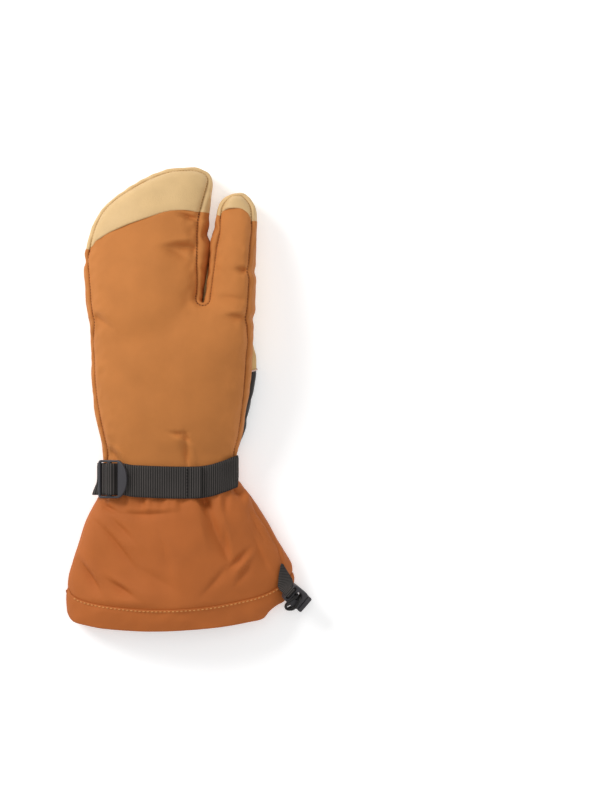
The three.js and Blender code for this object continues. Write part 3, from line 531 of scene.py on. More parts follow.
def make_material(name, colour, roughness, grain, relief, shift, sheen=0.0, kind="weave", ribs=None):
    """A surface with a fine relief: weave, leather grain or smooth moulding. ribs is how dark the painted
    shade is in the grooves between the ridges that a mesh carries as an attribute."""
    material = bpy.data.materials.new(name)
    material.use_nodes = True
    nodes, links = material.node_tree.nodes, material.node_tree.links
    base = linear(colour)
    place = nodes.new("ShaderNodeTexCoord")

    def texture(pattern, values):
        made = set_inputs(nodes.new("ShaderNodeTex" + pattern), values)
        links.new(place.outputs["Object"], made.inputs["Vector"])
        return made

    def shade(share):
        return [min(1, c * share) for c in base[:3]] + [1]

    shader = set_inputs(nodes["Principled BSDF"], {
        "Roughness": roughness, "Sheen Weight": sheen, "Sheen Roughness": 0.5, "Specular IOR Level": 0.25,
    })
    tone = nodes.new("ShaderNodeValToRGB")
    for stop, spot, share in zip(tone.color_ramp.elements, (0.3, 0.7), (1 - shift, 1 + shift)):
        stop.position = spot
        stop.color = shade(share)
    links.new(texture("Noise", {"Scale": 45, "Detail": 5}).outputs["Fac"], tone.inputs["Fac"])
    seen = tone.outputs["Color"]
    # Painted shade: the colour is darkened in the grooves between the ribs, where the mesh's ridge
    # attribute is low.
    if ribs:
        ridge = nodes.new("ShaderNodeAttribute")
        ridge.attribute_name = "ridge"
        dark = nodes.new("ShaderNodeMix")
        dark.data_type = "RGBA"
        dark.inputs["A"].default_value = shade(ribs)
        links.new(ridge.outputs["Fac"], dark.inputs["Factor"])
        links.new(seen, dark.inputs["B"])
        seen = dark.outputs["Result"]
    links.new(seen, shader.inputs["Base Color"])

    if kind == "weave":
        both = nodes.new("ShaderNodeMath")
        both.operation = "MAXIMUM"
        for i, way in enumerate("XY"):
            wave = texture("Wave", {"Scale": grain, "Distortion": 0.8})
            wave.bands_direction = way
            links.new(wave.outputs["Fac"], both.inputs[i])
        height = both.outputs[0]
    elif kind == "grain":
        cells = texture("Voronoi", {"Scale": grain})
        cells.feature = "SMOOTH_F1"
        height = cells.outputs["Distance"]
    else:
        height = texture("Noise", {"Scale": grain, "Detail": 3}).outputs["Fac"]
    bump = set_inputs(nodes.new("ShaderNodeBump"), {"Strength": relief, "Distance": 0.0004})
    links.new(height, bump.inputs["Height"])
    links.new(bump.outputs["Normal"], shader.inputs["Normal"])
    return material


SHELL = make_material("shell fabric", (197, 124, 63), 0.75, 700, 0.3, 0.05)
GAUNTLET = make_material("gauntlet fabric", (186, 103, 46), 0.65, 600, 0.3, 0.05)
LEATHER = make_material("leather", (217, 182, 130), 0.55, 900, 0.35, 0.07, 0.0, "grain")
PALM_LEATHER = make_material("palm leather", (212, 172, 112), 0.5, 500, 0.55, 0.08, 0.0, "grain")
DARK_FABRIC = make_material("thumb fabric", (44, 40, 38), 0.9, 900, 0.3, 0.1, 0.2, "speck")
# The webbing's grooves get painted shade, at 0.12 of its colour.
WEBBING = make_material("webbing", (84, 79, 76), 0.8, 900, 0.5, 0.15, ribs=0.12)
PLASTIC = make_material("plastic", (68, 66, 69), 0.36, 400, 0.08, 0.03, 0.0, "speck")
CORD_COVER = make_material("cord cover", (34, 32, 32), 0.35, 1400, 0.3, 0.1)
BROWN_THREAD = make_material("brown thread", (104, 50, 26), 0.7, 900, 0.3, 0.05)
OCHRE_THREAD = make_material("ochre thread", (218, 154, 88), 0.7, 900, 0.3, 0.05)
DARK_THREAD = make_material("dark thread", (24, 22, 21), 0.7, 900, 0.3, 0.05)
TAN_THREAD = make_material("tan thread", (178, 134, 80), 0.7, 900, 0.3, 0.05)
RAW_EDGE = make_material("raw leather edge", (226, 196, 184), 0.8, 900, 0.3, 0.05, 0.0, "speck")


def stitches(name, path, pitch, length, thick, material):
    """A row of separate short threads along a path, as one piece."""
    lengths = lengths_along(path)
    share = np.array([0, 0.15, 0.5, 0.85, 1])
    size = np.array([0.35, 0.85, 1, 0.85, 0.35]) * thick / 2
    sides = 6
    turn = np.arange(sides) * TAU / sides
    ring_faces = grid_faces(len(share), sides, closed=True)
    points, faces = [], []
    for start in np.arange(pitch / 2, lengths[-1] - length, pitch):
        line = spots_along(path, start + length * share, lengths)
        way = line[-1] - line[0]
        side = np.cross(way, (0.01, 0.02, 1))
        side /= np.linalg.norm(side)
        up = np.cross(side, way / np.linalg.norm(way))
        first = len(points) * len(share) * sides
        spokes = np.outer(np.cos(turn), side) + np.outer(np.sin(turn), up)
        points.append((line[:, None] + size[:, None, None] * spokes[None]).reshape(-1, 3))
        faces += (ring_faces + first).tolist()
        last = first + (len(share) - 1) * sides
        faces += [[first + i for i in range(sides)][::-1], [last + i for i in range(sides)]]
    flat = np.concatenate(points)
    flat[:, 2] = np.maximum(flat[:, 2], CLEAR)
    return add_piece(name, flat, faces, material, ())


# The upper seam of the hand, where the back and the fingertips meet the side bands
def seam_path(inset, side):
    plan = HAND[:, :2] + HAND_IN * np.broadcast_to(inset, len(HAND))[:, None]
    return np.column_stack([plan, hand_surface(plan[:, 0], plan[:, 1], side)])


HAND_ROOT = -58
ROOTS = {
    "left": station("left", HAND_ROOT), "wide cap left": station("left", LEATHER_FROM["left"]),
    "wide cap right": station("split", LEATHER_FROM["split"]),
    "index cap left": station("index", LEATHER_FROM["index"]),
    "index cap right": station("right", LEATHER_FROM["right"]), "right": station("right", HAND_ROOT),
}
UPPER_SEAM = smooth_path(seam_path(HAND[:, 3], 1), 2)
LOWER_SEAM = smooth_path(seam_path(PALM_INSET, -1), 2)

# Both panels of a seam are drawn the same way into it: in from the outline, and down or up into the padding
def seam_pull(side):
    return np.column_stack([HAND_IN * 0.6, np.full(len(HAND), -0.8 * side)]) * SEAM["depth"]


UPPER_PULL, LOWER_PULL = seam_pull(1), seam_pull(-1)


def panel(name, outline, height, thick, material, nodes, side, lines, step=1.1):
    """A sewn panel over a plan region, on the upper (side 1) or lower (side -1) surface. lines lists the
    stretches of border that roll into a seam, each with how far it sinks or the way that it is drawn."""
    plan, faces = triangulated(outline, step)
    points = np.column_stack([plan, height(plan[:, 0], plan[:, 1])])
    normals = surface_normals(points, faces)
    faces, normals = turned(faces, normals, normals[:, 2].sum() * side)
    for line, depth in lines:
        gap, which = nearest_on(plan, line)
        way = -normals * depth if isinstance(depth, float) else depth[which]
        points = points + way * bell(gap, SEAM["roll"], 1.3)[:, None]
    add_padded(name, points, faces, thick, normals, material, nodes)


def upper_seam_gap(x, y):
    return distance_to(np.column_stack([x, y]), UPPER_SEAM[:, :2])


def back_height(x, y):
    """Upper surface of the hand with its padding, folds and puckers."""
    flat, seam = on_plan(x, y), upper_seam_gap(x, y)
    pucker = 0.8 * undulation(flat, 4.5, 3) * np.exp(-seam / 5)
    relief = 0.22 * undulation(flat, 14, 5) + 0.8 * undulation(flat, 36, 6) + pucker - fold_depth(x, y)
    return hand_surface(x, y, 1) + relief * (1 - bell(seam, 2.2))


def cap_height(x, y):
    """Upper surface of the leather fingertips."""
    flat, seam = on_plan(x, y), upper_seam_gap(x, y)
    relief = 0.3 + 0.4 * undulation(flat, 16, 8) + 0.4 * undulation(flat, 4, 9) * np.exp(-seam / 3)
    return hand_surface(x, y, 1) + relief * (1 - bell(seam, 2))


def build_back():
    """The fabric back and the two leather fingertips, which meet at the caps' edges."""
    seam = UPPER_SEAM[:, :2]
    left, wide_left, wide_right, index_left, index_right, right = ROOTS.values()

    def cap_edge(start, line, end):
        return resampled(np.concatenate([[seam[start]], line, [seam[end]]]), 1.1)

    def seam_line(start, end):
        return seam[start:end + 1], UPPER_PULL[start:end + 1]

    wide_edge = cap_edge(wide_left, WIDE_CAP_EDGE, wide_right)
    index_edge = cap_edge(index_left, INDEX_CAP_EDGE, index_right)
    root = resampled(np.array([seam[right], seam[left]]), 1.5)
    outline = np.concatenate([
        seam[left:wide_left], wide_edge[:-1], seam[wide_right:index_left], index_edge[:-1],
        seam[index_right:right], root[:-1],
    ])
    lines = [
        seam_line(left, wide_left), seam_line(wide_right, index_left), seam_line(index_right, right),
        (wide_edge, 0.55), (index_edge, 0.55),
    ]
    panel("back_fabric", outline, back_height, PANEL_THICK, SHELL, ["back_panel"], 1, lines)
    for name, edge, start, end, node in (
        ("wide_fingertip", wide_edge, wide_left, wide_right, "wide_cap"),
        ("index_fingertip", index_edge, index_left, index_right, "index_cap"),
    ):
        outline = np.concatenate([seam[start:end + 1], edge[::-1][1:-1]])
        lines = [seam_line(start, end), (edge, 0.4)]
        panel(name, outline, cap_height, PANEL_THICK, LEATHER, [node], 1, lines)


def band(name, start, end, material, node, seed, bumps):
    """A side band between the upper and the lower seam, as a puffed strip along part of the outline."""
    steps = 26
    turn = np.linspace(0, math.pi, steps)
    rows = np.arange(start, end + 1)
    upper, lower, rim = UPPER_SEAM[rows], LOWER_SEAM[rows], HAND[rows]
    points = np.empty((len(rows), steps, 3))
    for j, angle in enumerate(turn):
        seam = upper if angle <= math.pi / 2 else lower
        points[:, j, :2] = rim[:, :2] + (seam[:, :2] - rim[:, :2]) * (1 - math.sin(angle))
        points[:, j, 2] = rim[:, 2] + (seam[:, 2] - rim[:, 2]) * abs(math.cos(angle))
    flat = points.reshape(-1, 3)
    faces = grid_faces(len(rows), steps)
    normals = surface_normals(flat, faces)
    inward = (normals[:, :2] * np.repeat(HAND_IN[rows], steps, axis=0)).sum()
    faces, normals = turned(faces, normals, -inward)
    for pull, place in ((UPPER_PULL, 0), (LOWER_PULL, -1)):
        near = np.linalg.norm(points - points[:, place][:, None], axis=2)
        flat = flat + (pull[rows][:, None] * bell(near, 1.3, 1.3)[..., None]).reshape(-1, 3)
    turn = np.tile(turn, len(rows))
    by_seam = np.abs(np.cos(turn))
    ripple = 0.35 * undulation(flat, 5, seed) * by_seam + 0.25 * undulation(flat, 12, seed + 1)
    for x, y, size, height in bumps:
        ripple += height * bell(np.hypot(flat[:, 0] - x, flat[:, 1] - y), size)
    flat = flat + normals * (ripple * np.sin(turn) ** 0.5)[:, None]
    add_padded(name, flat, faces, 1.6, normals, material, [node])


# Puffs and pinches of the bands: where, how wide and how high
LEFT_BUMPS = [[-71, 105, 3, -1.3], [-69, 111, 4, 0.7], [-67, 58, 5, -1]]
SPLIT_BUMPS = [
    [21, 107, 5, 0.8], [21, 115.5, 5, 1.5], [20, 125, 4, -2.2], [19, 134, 3, 0.9], [28, 130, 3, -2],
    [26, 121, 5, 0.9],
]
RIGHT_BUMPS = [[56, 97, 3.5, -1.6], [56, 90, 4, 0.6], [55, 61, 3.5, -1.5], [55, 68, 4, 0.6]]


# The outline's stretches, from the left of the wrist round to its right
STRETCHES = [
    ("left", "wide cap left", "side_band", "side_gusset", "left_seam_stitches", 41, LEFT_BUMPS),
    ("wide cap left", "wide cap right", "wide_tip_rim", "wide_rim", "wide_tip_stitches", 43, ()),
    ("wide cap right", "index cap left", "split_band", "split_gusset", "slit_stitches", 45, SPLIT_BUMPS),
    ("index cap left", "index cap right", "index_tip_rim", "index_rim", "index_tip_stitches", 47, ()),
    ("index cap right", "right", "index_band", "index_gusset", "right_seam_stitches", 49, RIGHT_BUMPS),
]


def build_bands():
    for start, end, name, node, _, seed, bumps in STRETCHES:
        material, slot = (LEATHER, "leather") if node.endswith("rim") else (SHELL, "shell_fabric")
        band(name, ROOTS[start], ROOTS[end], material, node, seed, bumps)


def thumb_lift(x, y):
    """Height of the palm over the thumb, falling off steeply beside it."""
    root, tip, cover, fall = -37, 107, 0.8, 3
    at = section_at(THUMB, y)
    top = dome(THUMB, x, np.clip(y, root, tip), 1)
    beside = np.maximum(at["left"] - x, x - at["right"])
    away = np.hypot(np.maximum(beside, 0), np.maximum(y - tip, 0))
    inside = (beside < 0) & (y < THUMB["y"][-1])
    return np.where(inside, top + cover, at["edgeLeft"] - fall * away)


def palm_height(x, y):
    """Lower surface of the hand, lifted over the thumb and wrinkled at its root."""
    soft = 1.5
    flat = on_plan(x, y)
    z = soft * np.logaddexp(hand_surface(x, y, -1) / soft, thumb_lift(x, y) / soft)
    wrinkled = bell(x + 36, 24) * bell(y + 4, 26)
    wrinkles = 0.3 * undulation(flat * (1, 1.8, 1), 4.5, 13) * wrinkled
    return np.maximum(z + 0.35 * undulation(flat, 14, 12) + wrinkles, 0.05)


PALM_ROOT = -36


def build_palm():
    seam = LOWER_SEAM[:, :2]
    left, right = station("left", PALM_ROOT), station("right", PALM_ROOT)
    notch = [[20, -36], [-10, -36], [-14, -24], [-18, -36], [-40, -37]]
    root = resampled(np.array([seam[right], *notch, seam[left]]), 1.5)
    outline = np.concatenate([seam[left:right], root[:-1]])
    lines = [(seam[left:right + 1], LOWER_PULL[left:right + 1]), (root, 1.0)]
    nodes = ["palm_panel"]
    panel("palm", outline, palm_height, PANEL_THICK, PALM_LEATHER, nodes, -1, lines, step=1.4)


def build_hand_stitches():
    """Stitches in the hand's upper seam, and in the seam round the palm."""
    def beside_seam(rows, seam, pull, rise):
        lift = np.column_stack([HAND_IN[rows] * 0.5, np.full(rows.stop - rows.start, rise)])
        return seam[rows] + pull[rows] + lift

    for start, end, _, node, name, _, _ in STRETCHES:
        path = beside_seam(slice(ROOTS[start], ROOTS[end]), UPPER_SEAM, UPPER_PULL, 0.85)
        material, slot = (TAN_THREAD, "leather") if node.endswith("rim") else (BROWN_THREAD, "shell_fabric")
        stitches(name, path, 2.3, 1.4, 0.75, material)
    path = beside_seam(slice(station("left", -34), station("right", -34)), LOWER_SEAM, LOWER_PULL, -0.8)
    stitches("palm_seam_stitches", path, 2.6, 1.6, 0.7, BROWN_THREAD)


build_back()
build_bands()
build_palm()
build_hand_stitches()


# The gauntlet is a fabric tube. Its sides carry a seam, its palm side is gathered by elastic.
CUFF_TOP = {"back": -57, "palm": -33}
CUFF_LOW = -152
PALM_NOTCH = {"x": -14, "high": 13}
CUFF_SEAM = np.array([
    [44, -50], [45.6, -56.6], [50.5, -66], [56.7, -81.5], [65.9, -97.2], [74.9, -112.9], [77.6, -124.7],
    [79, -136],
])


def cuff_seam_relief(points, lift):
    """The seam that runs down the gauntlet, just inside its right edge on the back."""
    gap = distance_to(points[:, :2], CUFF_SEAM)
    outside = points[:, 0] > np.interp(points[:, 1], CUFF_SEAM[::-1, 1], CUFF_SEAM[::-1, 0])
    return np.where(lift > 0, 0.9 * bell(gap, 0.8) - np.where(outside, 0.35 * bell(gap - 2, 1.2), 0), 0)


def cuff_grid(rows, count):
    """A grid over the gauntlet, from under the strap and the palm's border down to under the hem."""
    share, angle = np.meshgrid(np.linspace(0, 1, rows), np.arange(count) * TAU / count, indexing="ij")
    border, lift = section_points(TUBE, np.full_like(share, CUFF_TOP["back"]), angle)
    under = np.clip((-lift - 0.25) / 0.2, 0, 1)
    palm_top = CUFF_TOP["palm"] + PALM_NOTCH["high"] * bell(border[..., 0] - PALM_NOTCH["x"], 6)
    top = CUFF_TOP["back"] + (palm_top - CUFF_TOP["back"]) * under**2 * (3 - 2 * under)
    y = top + (CUFF_LOW - top) * share
    points, lift = section_points(TUBE, y, angle)
    flat = points.reshape(-1, 3)
    lean = np.clip((-86 - y.ravel()) / 63, 0, 1) ** 2
    flat[:, 1] += (column(HEM_SEAM, "y", flat[:, 0], "x") + 149) * lean
    return flat, lift.ravel(), angle.ravel(), (y - top).ravel()


def build_cuff():
    count, rows = 360, 132
    flat, lift, angle, below_top = cuff_grid(rows, count)
    faces = grid_faces(rows, count, closed=True)
    y = flat[:, 1].copy()
    plan = on_plan(flat[:, 0], y)
    # Gathers that start under the strap's lower edge and fade out
    gather = undulation(np.column_stack([flat[:, 0], y * 0.22, flat[:, 2] * 0.3]), 5, 61)
    relief = 0.8 * gather * bell(y + 73, 10) * np.clip(lift * 3, 0, 1)
    slack = 0.2 * undulation(plan, 12, 62) + 0.75 * undulation(plan, 34, 63)
    relief += slack * np.clip(np.abs(lift) * 2, 0.25, 1)
    relief -= fold_depth(flat[:, 0], y) * np.clip(lift * 2, 0, 1)
    # Elastic pleats on the palm side
    pleat = bell(y - ELASTIC["y"], ELASTIC["reach"]) * np.clip(-lift * 3, 0, 1)
    wander = 0.8 * np.sin(y * 0.5 + 3 * np.sin(angle * 7))
    gathered = ELASTIC["depth"] * pleat * np.sin(ELASTIC["pleats"] * 2 * angle + wander)
    for row in ELASTIC["rows"]:
        gathered -= 0.5 * pleat * bell(y - row, 1.2)
    normals = surface_normals(flat, faces)
    middle = np.column_stack([np.interp(y, [-150, -42], [0, -8]), y, np.full(len(flat), 18)])
    faces, normals = turned(faces, normals, ((flat - middle) * normals).sum())
    # The borders sink under the hem and under the strap
    past_hem = column(HEM_SEAM, "y", flat[:, 0], "x") - y
    relief = (relief - cuff_seam_relief(flat, lift)) * (1 - bell(past_hem, 3.5))
    sunk = 0.3 * bell(past_hem, 1.1) + 1.2 * np.clip(past_hem / 1.2, 0, 1) + 2.4 * bell(below_top, 4)
    flat = flat + normals * (relief + gathered - sunk)[:, None]
    # Low parts settle softly on the surface that the mitt lies on
    z = flat[:, 2] + ELASTIC["lift"] * pleat
    flat[:, 2] = np.where(z < 1.5, 0.05 + np.logaddexp(0, (z - 0.6) * 1.5) / 1.5, z)
    both, body = thickened(flat, faces, 1.3, normals)
    both[len(flat):, 2] = np.maximum(both[len(flat):, 2], flat[:, 2] * 0.2 + 1.2)
    gauntlet = add_piece("gauntlet", both, body, GAUNTLET, ["cuff"])
    for name, row in zip(("elastic_stitches", "elastic_stitches_low"), ELASTIC["rows"]):
        near = (np.abs(y - row) < 0.5) & (lift < -0.5) & (np.abs(flat[:, 0] + 8) < 43)
        spots = flat[near][np.argsort(flat[near][:, 0])]
        x = np.arange(-48, 33, 0.7)
        path = np.column_stack([x, np.full(len(x), row), np.interp(x, spots[:, 0], spots[:, 2]) - 0.15])
        stitches(name, path, 3, 1.9, 0.6, OCHRE_THREAD)


def build_hem():
    """The hem: folded fabric, stitched on at one edge, open at the other, with a rounded fold."""
    count = 420
    angle = np.arange(count) * TAU / count
    wall = 2.6
    fold_at = 0.985
    rings = []
    # Down the outside, round the fold, and back up the inside
    for t in [*np.linspace(0, 1, 16), *(1 + np.linspace(0.1, 1, 8)), *(2 + np.linspace(0.1, 1, 12))]:
        if t <= 1:
            share, depth = t * fold_at, 0.0
        elif t <= 2:
            arc = (t - 1) * math.pi
            share, depth = fold_at + 0.06 * math.sin(arc), wall * (1 - math.cos(arc)) / 2
        else:
            share, depth = fold_at * (3 - t), wall
        puff = 0.7 * math.sin(math.pi * min(share, 1))
        grow = puff - depth - (0.8 * puff if depth > 0.5 else 0)
        y = np.full(count, -149 - 25 * share)
        points, lift = section_points(TUBE, y, angle, grow)
        seam_y = column(HEM_SEAM, "y", points[:, 0], "x") - 0.3
        end_y = column(HEM_END, "y", points[:, 0], "x")
        points[:, 1] = seam_y + (end_y + 1.2 - seam_y) * share
        crease = 0.2 * undulation(points, 9, 71) + 0.5 * undulation(points, 26, 72)
        points[:, 2] += crease * (1 - bell(share, 0.16)) * np.sign(lift)
        points[:, 2] = np.maximum(points[:, 2], 0.05 + depth * 0.6)
        rings.append(points)
    flat = np.concatenate(rings)
    faces = grid_faces(len(rings), count, closed=True)
    normals = surface_normals(flat, faces)
    outside = slice(0, count * 4)
    faces, normals = turned(faces, normals, (normals[outside, 2] * (flat[outside, 2] - 18)).sum())
    both, body = thickened(flat, faces, 0.8, normals)
    hem = add_piece("hem", both, body, GAUNTLET, ["hem_band"])
    x = np.linspace(-82, 80, 200)
    y = column(HEM_SEAM, "y", x, "x") - 1.6
    z = dome(TUBE, x, np.full(200, -151), 1) + 0.75
    stitches("hem_stitches", np.column_stack([x, y, z]), 3.2, 1.8, 0.85, OCHRE_THREAD)


build_cuff()
build_hem()


def tube_mesh(path, radius, sides, wave=None):
    """A round tube along a path, closed at both ends, with no twist along it."""
    along = np.gradient(path, axis=0)
    along /= np.linalg.norm(along, axis=1)[:, None]
    side = np.cross(along[0], (0.3, 0.2, 1.0))
    side /= np.linalg.norm(side)
    points = []
    for i, point in enumerate(path):
        side = side - along[i] * side.dot(along[i])
        side /= np.linalg.norm(side)
        up = np.cross(along[i], side)
        turn = np.arange(sides) * TAU / sides
        size = radius * (1 if wave is None else wave(i, turn))
        points.append(point + np.outer(np.cos(turn) * size, side) + np.outer(np.sin(turn) * size, up))
    points.append(path[[0, -1]])
    flat = np.concatenate(points)
    faces = [tuple(f) for f in grid_faces(len(path), sides, closed=True)]
    first, last = len(path) * sides, len(path) * sides + 1
    start = (len(path) - 1) * sides
    faces += [((i + 1) % sides, i, first) for i in range(sides)]
    faces += [(start + i, start + (i + 1) % sides, last) for i in range(sides)]
    return flat, faces


# The thumb: dark panel under and outside, leather inside and round the tip
def angle_at(rows, ys, x, side):
    """The angle where a section's upper or lower surface passes over x."""
    at = section_at(rows, ys)
    across = np.clip((x - at["centre"]) / at["half"], -1, 1)
    return side * np.arccos(np.sign(across) * np.abs(across) ** (at["square"] / 2))


def thumb_piece(name, ys, start, end, steps, material, node, rolled, seed):
    """A panel of the thumb between two angles. rolled says whether its end rolls in as its sides do."""
    angle = start[:, None] + (end - start)[:, None] * np.linspace(0, 1, steps)[None]
    points = section_points(THUMB, np.repeat(ys[:, None], steps, 1), angle)[0]
    flat = points.reshape(-1, 3)
    faces = grid_faces(len(ys), steps)
    normals = surface_normals(flat, faces)
    middle = np.full(len(flat), THUMB_MIDDLE)
    centre = np.column_stack([section_at(THUMB, flat[:, 1])["centre"], flat[:, 1], middle])
    faces, normals = turned(faces, normals, ((flat - centre) * normals).sum())
    arc = np.tile(np.linspace(0, 1, steps), len(ys))
    width = np.linalg.norm(np.diff(points, axis=1), axis=2).sum(axis=1)
    near = np.minimum(arc, 1 - arc) * np.repeat(width, steps)
    if rolled:
        near = np.minimum(near, np.repeat(ys[-1] - ys, steps))
    ripple = 0.4 * undulation(flat, 13, seed) + 0.2 * undulation(flat, 5, seed + 1)
    flat = flat + normals * (ripple - 1.1 * bell(near, 1.5, 1.3))[:, None]
    flat[:, 2] = np.maximum(flat[:, 2], CLEAR)
    add_padded(name, flat, faces, 1.8, normals, material, [node])


THUMB_ROOT = -36
THUMB_TURN = 20
THUMB_TIP = 102.5
THUMB_MIDDLE = 12.5


def build_thumb():
    """The dark panel under and outside, the leather panel inside, the tip, and the seams."""
    ys = np.linspace(THUMB_ROOT, THUMB_TIP, 130)
    at = section_at(THUMB, ys)
    shrink = np.clip((ys - 92) / 10.5, 0, 1) ** 2
    under = angle_at(THUMB, ys, at["left"] + 4.5 + shrink * 3, -1)
    over = angle_at(THUMB, ys, at["right"] - 9 + shrink * 4, 1)
    # From its turn on, the leather comes round the thumb's edge
    turn = np.clip((ys - THUMB_TURN) / 5, 0, 1)
    over += (-0.5 - over) * turn**2 * (3 - 2 * turn)
    thumb_piece("thumb_dark_side", ys, under, over, 90, DARK_FABRIC, "thumb_back", True, 81)
    around = under + TAU
    thumb_piece("thumb_inside", ys, over, around, 60, PALM_LEATHER, "thumb_inner", False, 83)
    build_thumb_tip()
    build_thumb_seams(ys, under, over)


def build_thumb_tip():
    """A leather cap, closed by smaller and smaller rings."""
    count = 96
    angle = np.arange(count) * TAU / count
    tip_ys = [*np.linspace(THUMB_TIP, 106.8, 10), *np.linspace(107, 107.5, 4)]
    rings = [section_points(THUMB, np.full(count, y), angle)[0] for y in tip_ys]
    last = rings[-1]
    centre = last.mean(axis=0)
    for share, bulge in ((0.7, 1 / 6), (0.4, 1 / 3), (0.12, 1 / 2)):
        rings.append(centre + (last - centre) * share + (0, bulge, 0))
    flat = np.concatenate(rings)
    faces = grid_faces(len(rings), count, closed=True)
    normals = surface_normals(flat, faces)
    faces, normals = turned(faces, normals, normals[-count:, 1].sum())
    flat = flat - normals * (1.1 * bell(flat[:, 1] - THUMB_TIP, 1.2, 1.3))[:, None]
    flat[:, 2] = np.maximum(flat[:, 2], CLEAR)
    add_padded("thumb_tip", flat, faces, 1.5, normals, PALM_LEATHER, [])


def build_thumb_seams(ys, under, over):
    """Stitches on the leather's side of both seams, and its raw edge where it comes round the dark part."""
    for name, angle in (("thumb_over_stitches", over + 0.07), ("thumb_under_stitches", under - 0.07)):
        stitches(name, section_points(THUMB, ys, angle, 0.1)[0], 3, 2, 0.6, TAN_THREAD)
    turning = (ys > THUMB_TURN - 2) & (ys < THUMB_TURN + 6)
    edge = resampled(section_points(THUMB, ys[turning], over[turning], 0.2)[0], 0.5)
    points, faces = tube_mesh(edge, 0.55, 8)
    add_piece("leather_raw_edge", points, faces, RAW_EDGE, ())


build_thumb()


# The webbing strap and its tail through the ladder buckle
STRAP = {"width": 24, "thick": 1.5, "gap": 1.0, "rib": 1.75, "relief": 0.34}
STRAP_LINE = table("x y", [
    [-44, -60.8], [-38, -61.3], [-20, -62.2], [0, -62.7], [17, -62.4], [26, -60.7], [36, -57.4],
    [44, -54.3],
])
BUCKLE = {"x": -50.2, "y": -60.2, "z": 35.5, "tilt": 28, "long": 25, "high": 29, "thick": 2.6}
STRAP_TURN = [
    [6, -4.3], [0, -4.3], [-4, -4.2], [-5.4, -3.2], [-5.7, -1.5], [-5.7, 0.8], [-5, 2.1], [-3.8, 2.5],
    [-1, 2.5], [0.6, 2.2], [1.4, 1], [1.6, -0.8], [2.4, -1.9], [3.8, -2.3], [8, -2.3],
]
ANCHOR_TURN = [
    [-17.2, -7.6], [-15.4, -4.2], [-13, -2.8], [-10.6, -2.2], [-9.2, -0.9], [-8.1, -1.2], [-8.2, -3],
    [-10, -4.4], [-12, -5.2],
]
BASE_X = [43.9, 43, 41, 37, 31, 24, 16, 8, 0, -8, -16, -24, -31, -36]
TAIL_X = [-36, -28, -20, -12, -4, 4, 10, 16.6]


def strap_point(x, aside, layer):
    """On the back of the wrist, whose sides the strap pulls in to its own width."""
    y = column(STRAP_LINE, "y", x, "x") + aside
    grow = STRAP["gap"] + STRAP["thick"] / 2 + layer * (STRAP["thick"] + 0.3)
    reach = max(float(column(TUBE, "right", y)), 44.2)
    z = float(dome({**TUBE, "right": np.full(len(TUBE["y"]), reach)}, np.array([x]), np.array([y]), 1)[0])
    return np.array([x, float(y), z + grow])


def buckle_spot(along, above, aside):
    tilt = math.radians(BUCKLE["tilt"])
    x = BUCKLE["x"] + along * math.cos(tilt) - above * math.sin(tilt)
    return np.array([x, BUCKLE["y"] + aside, BUCKLE["z"] + along * math.sin(tilt) + above * math.cos(tilt)])


def catmull(points, per):
    """A smooth path through points, per steps to each stretch."""
    points = np.asarray(points, float)
    padded = np.concatenate([[2 * points[0] - points[1]], points, [2 * points[-1] - points[-2]]])
    path = []
    for i in range(len(points) - 1):
        a, b, c, d = padded[i:i + 4]
        for t in np.linspace(0, 1, per, endpoint=False):
            path.append(0.5 * (2 * b + (c - a) * t + (2 * a - 5 * b + 4 * c - d) * t**2
                               + (3 * b - a - 3 * c + d) * t**3))
    return np.array(path + [points[-1]])


def cross_lines(half, count, knots, per):
    """The same stretch of webbing at places across its width; knots gives its points for each place."""
    return [catmull(knots(aside), per) for aside in np.linspace(-half, half, count)]


def ribbon(name, paths, thick, nodes, rib, relief):
    """Ribbed webbing through cross lines, with edges half as thick, and a ridge attribute by which its
    material paints shade into the grooves.
    """
    lengths = lengths_along(paths[len(paths) // 2])
    steps = int(lengths[-1] / (rib / 6)) + 1
    at = np.linspace(0, lengths[-1], steps)
    grid = np.stack([spots_along(path, at, lengths) for path in paths], axis=1)
    normal = np.cross(np.gradient(grid, axis=0), np.gradient(grid, axis=1))
    normal /= np.linalg.norm(normal, axis=2)[..., None]
    share = np.abs(np.linspace(-1, 1, len(paths)))
    body = thick / 2 * np.where(share > 0.9, 0.5, 1)[None, :, None]
    wave = relief * np.abs(np.sin(math.pi * at / rib))[:, None, None]
    outer, inner = grid + normal * (body + wave), grid - normal * (body + wave)
    count = len(paths)
    points = np.concatenate([outer.reshape(-1, 3), inner.reshape(-1, 3)])
    half = steps * count
    top = grid_faces(steps, count)
    faces = [tuple(f) for f in top] + [tuple(f[::-1] + half) for f in top]
    for r in range(steps - 1):
        for i in (0, count - 1):
            a, b = r * count + i, (r + 1) * count + i
            face = (a, b, b + half, a + half)
            faces.append(face if i == 0 else face[::-1])
    for i in range(count - 1):
        for r in (0, steps - 1):
            a, b = r * count + i, r * count + i + 1
            face = (a, a + half, b + half, b)
            faces.append(face if r == 0 else face[::-1])
    piece = add_piece(name, points, faces, WEBBING, nodes)
    # Painted shade: the ridge attribute is 0 in the grooves, where the material darkens the colour, and 1
    # on the crests.
    ridge = np.sin(math.pi * at / rib) ** 2
    shade = piece.data.attributes.new("ridge", "FLOAT", "POINT")
    shade.data.foreach_set("value", np.tile(np.repeat(ridge, count), 2))


def strap_knots(aside):
    """Over the wrist from the right, round the buckle's bars, and back over itself."""
    knots = [strap_point(x, aside, 0) for x in BASE_X]
    knots += [buckle_spot(along, above, aside) for along, above in STRAP_TURN]
    return knots + [strap_point(x, aside, 1) for x in TAIL_X]


def anchor_knots(aside):
    """The loop that holds the buckle, with the free corner of its end."""
    corner = 4.6 * max(0, (-aside - 2) / 10)
    knots = [buckle_spot(along, above, aside) for along, above in ANCHOR_TURN]
    for i, share in enumerate((1, 0.7, 0.3)):
        knots[i][0] -= corner * share
    return knots


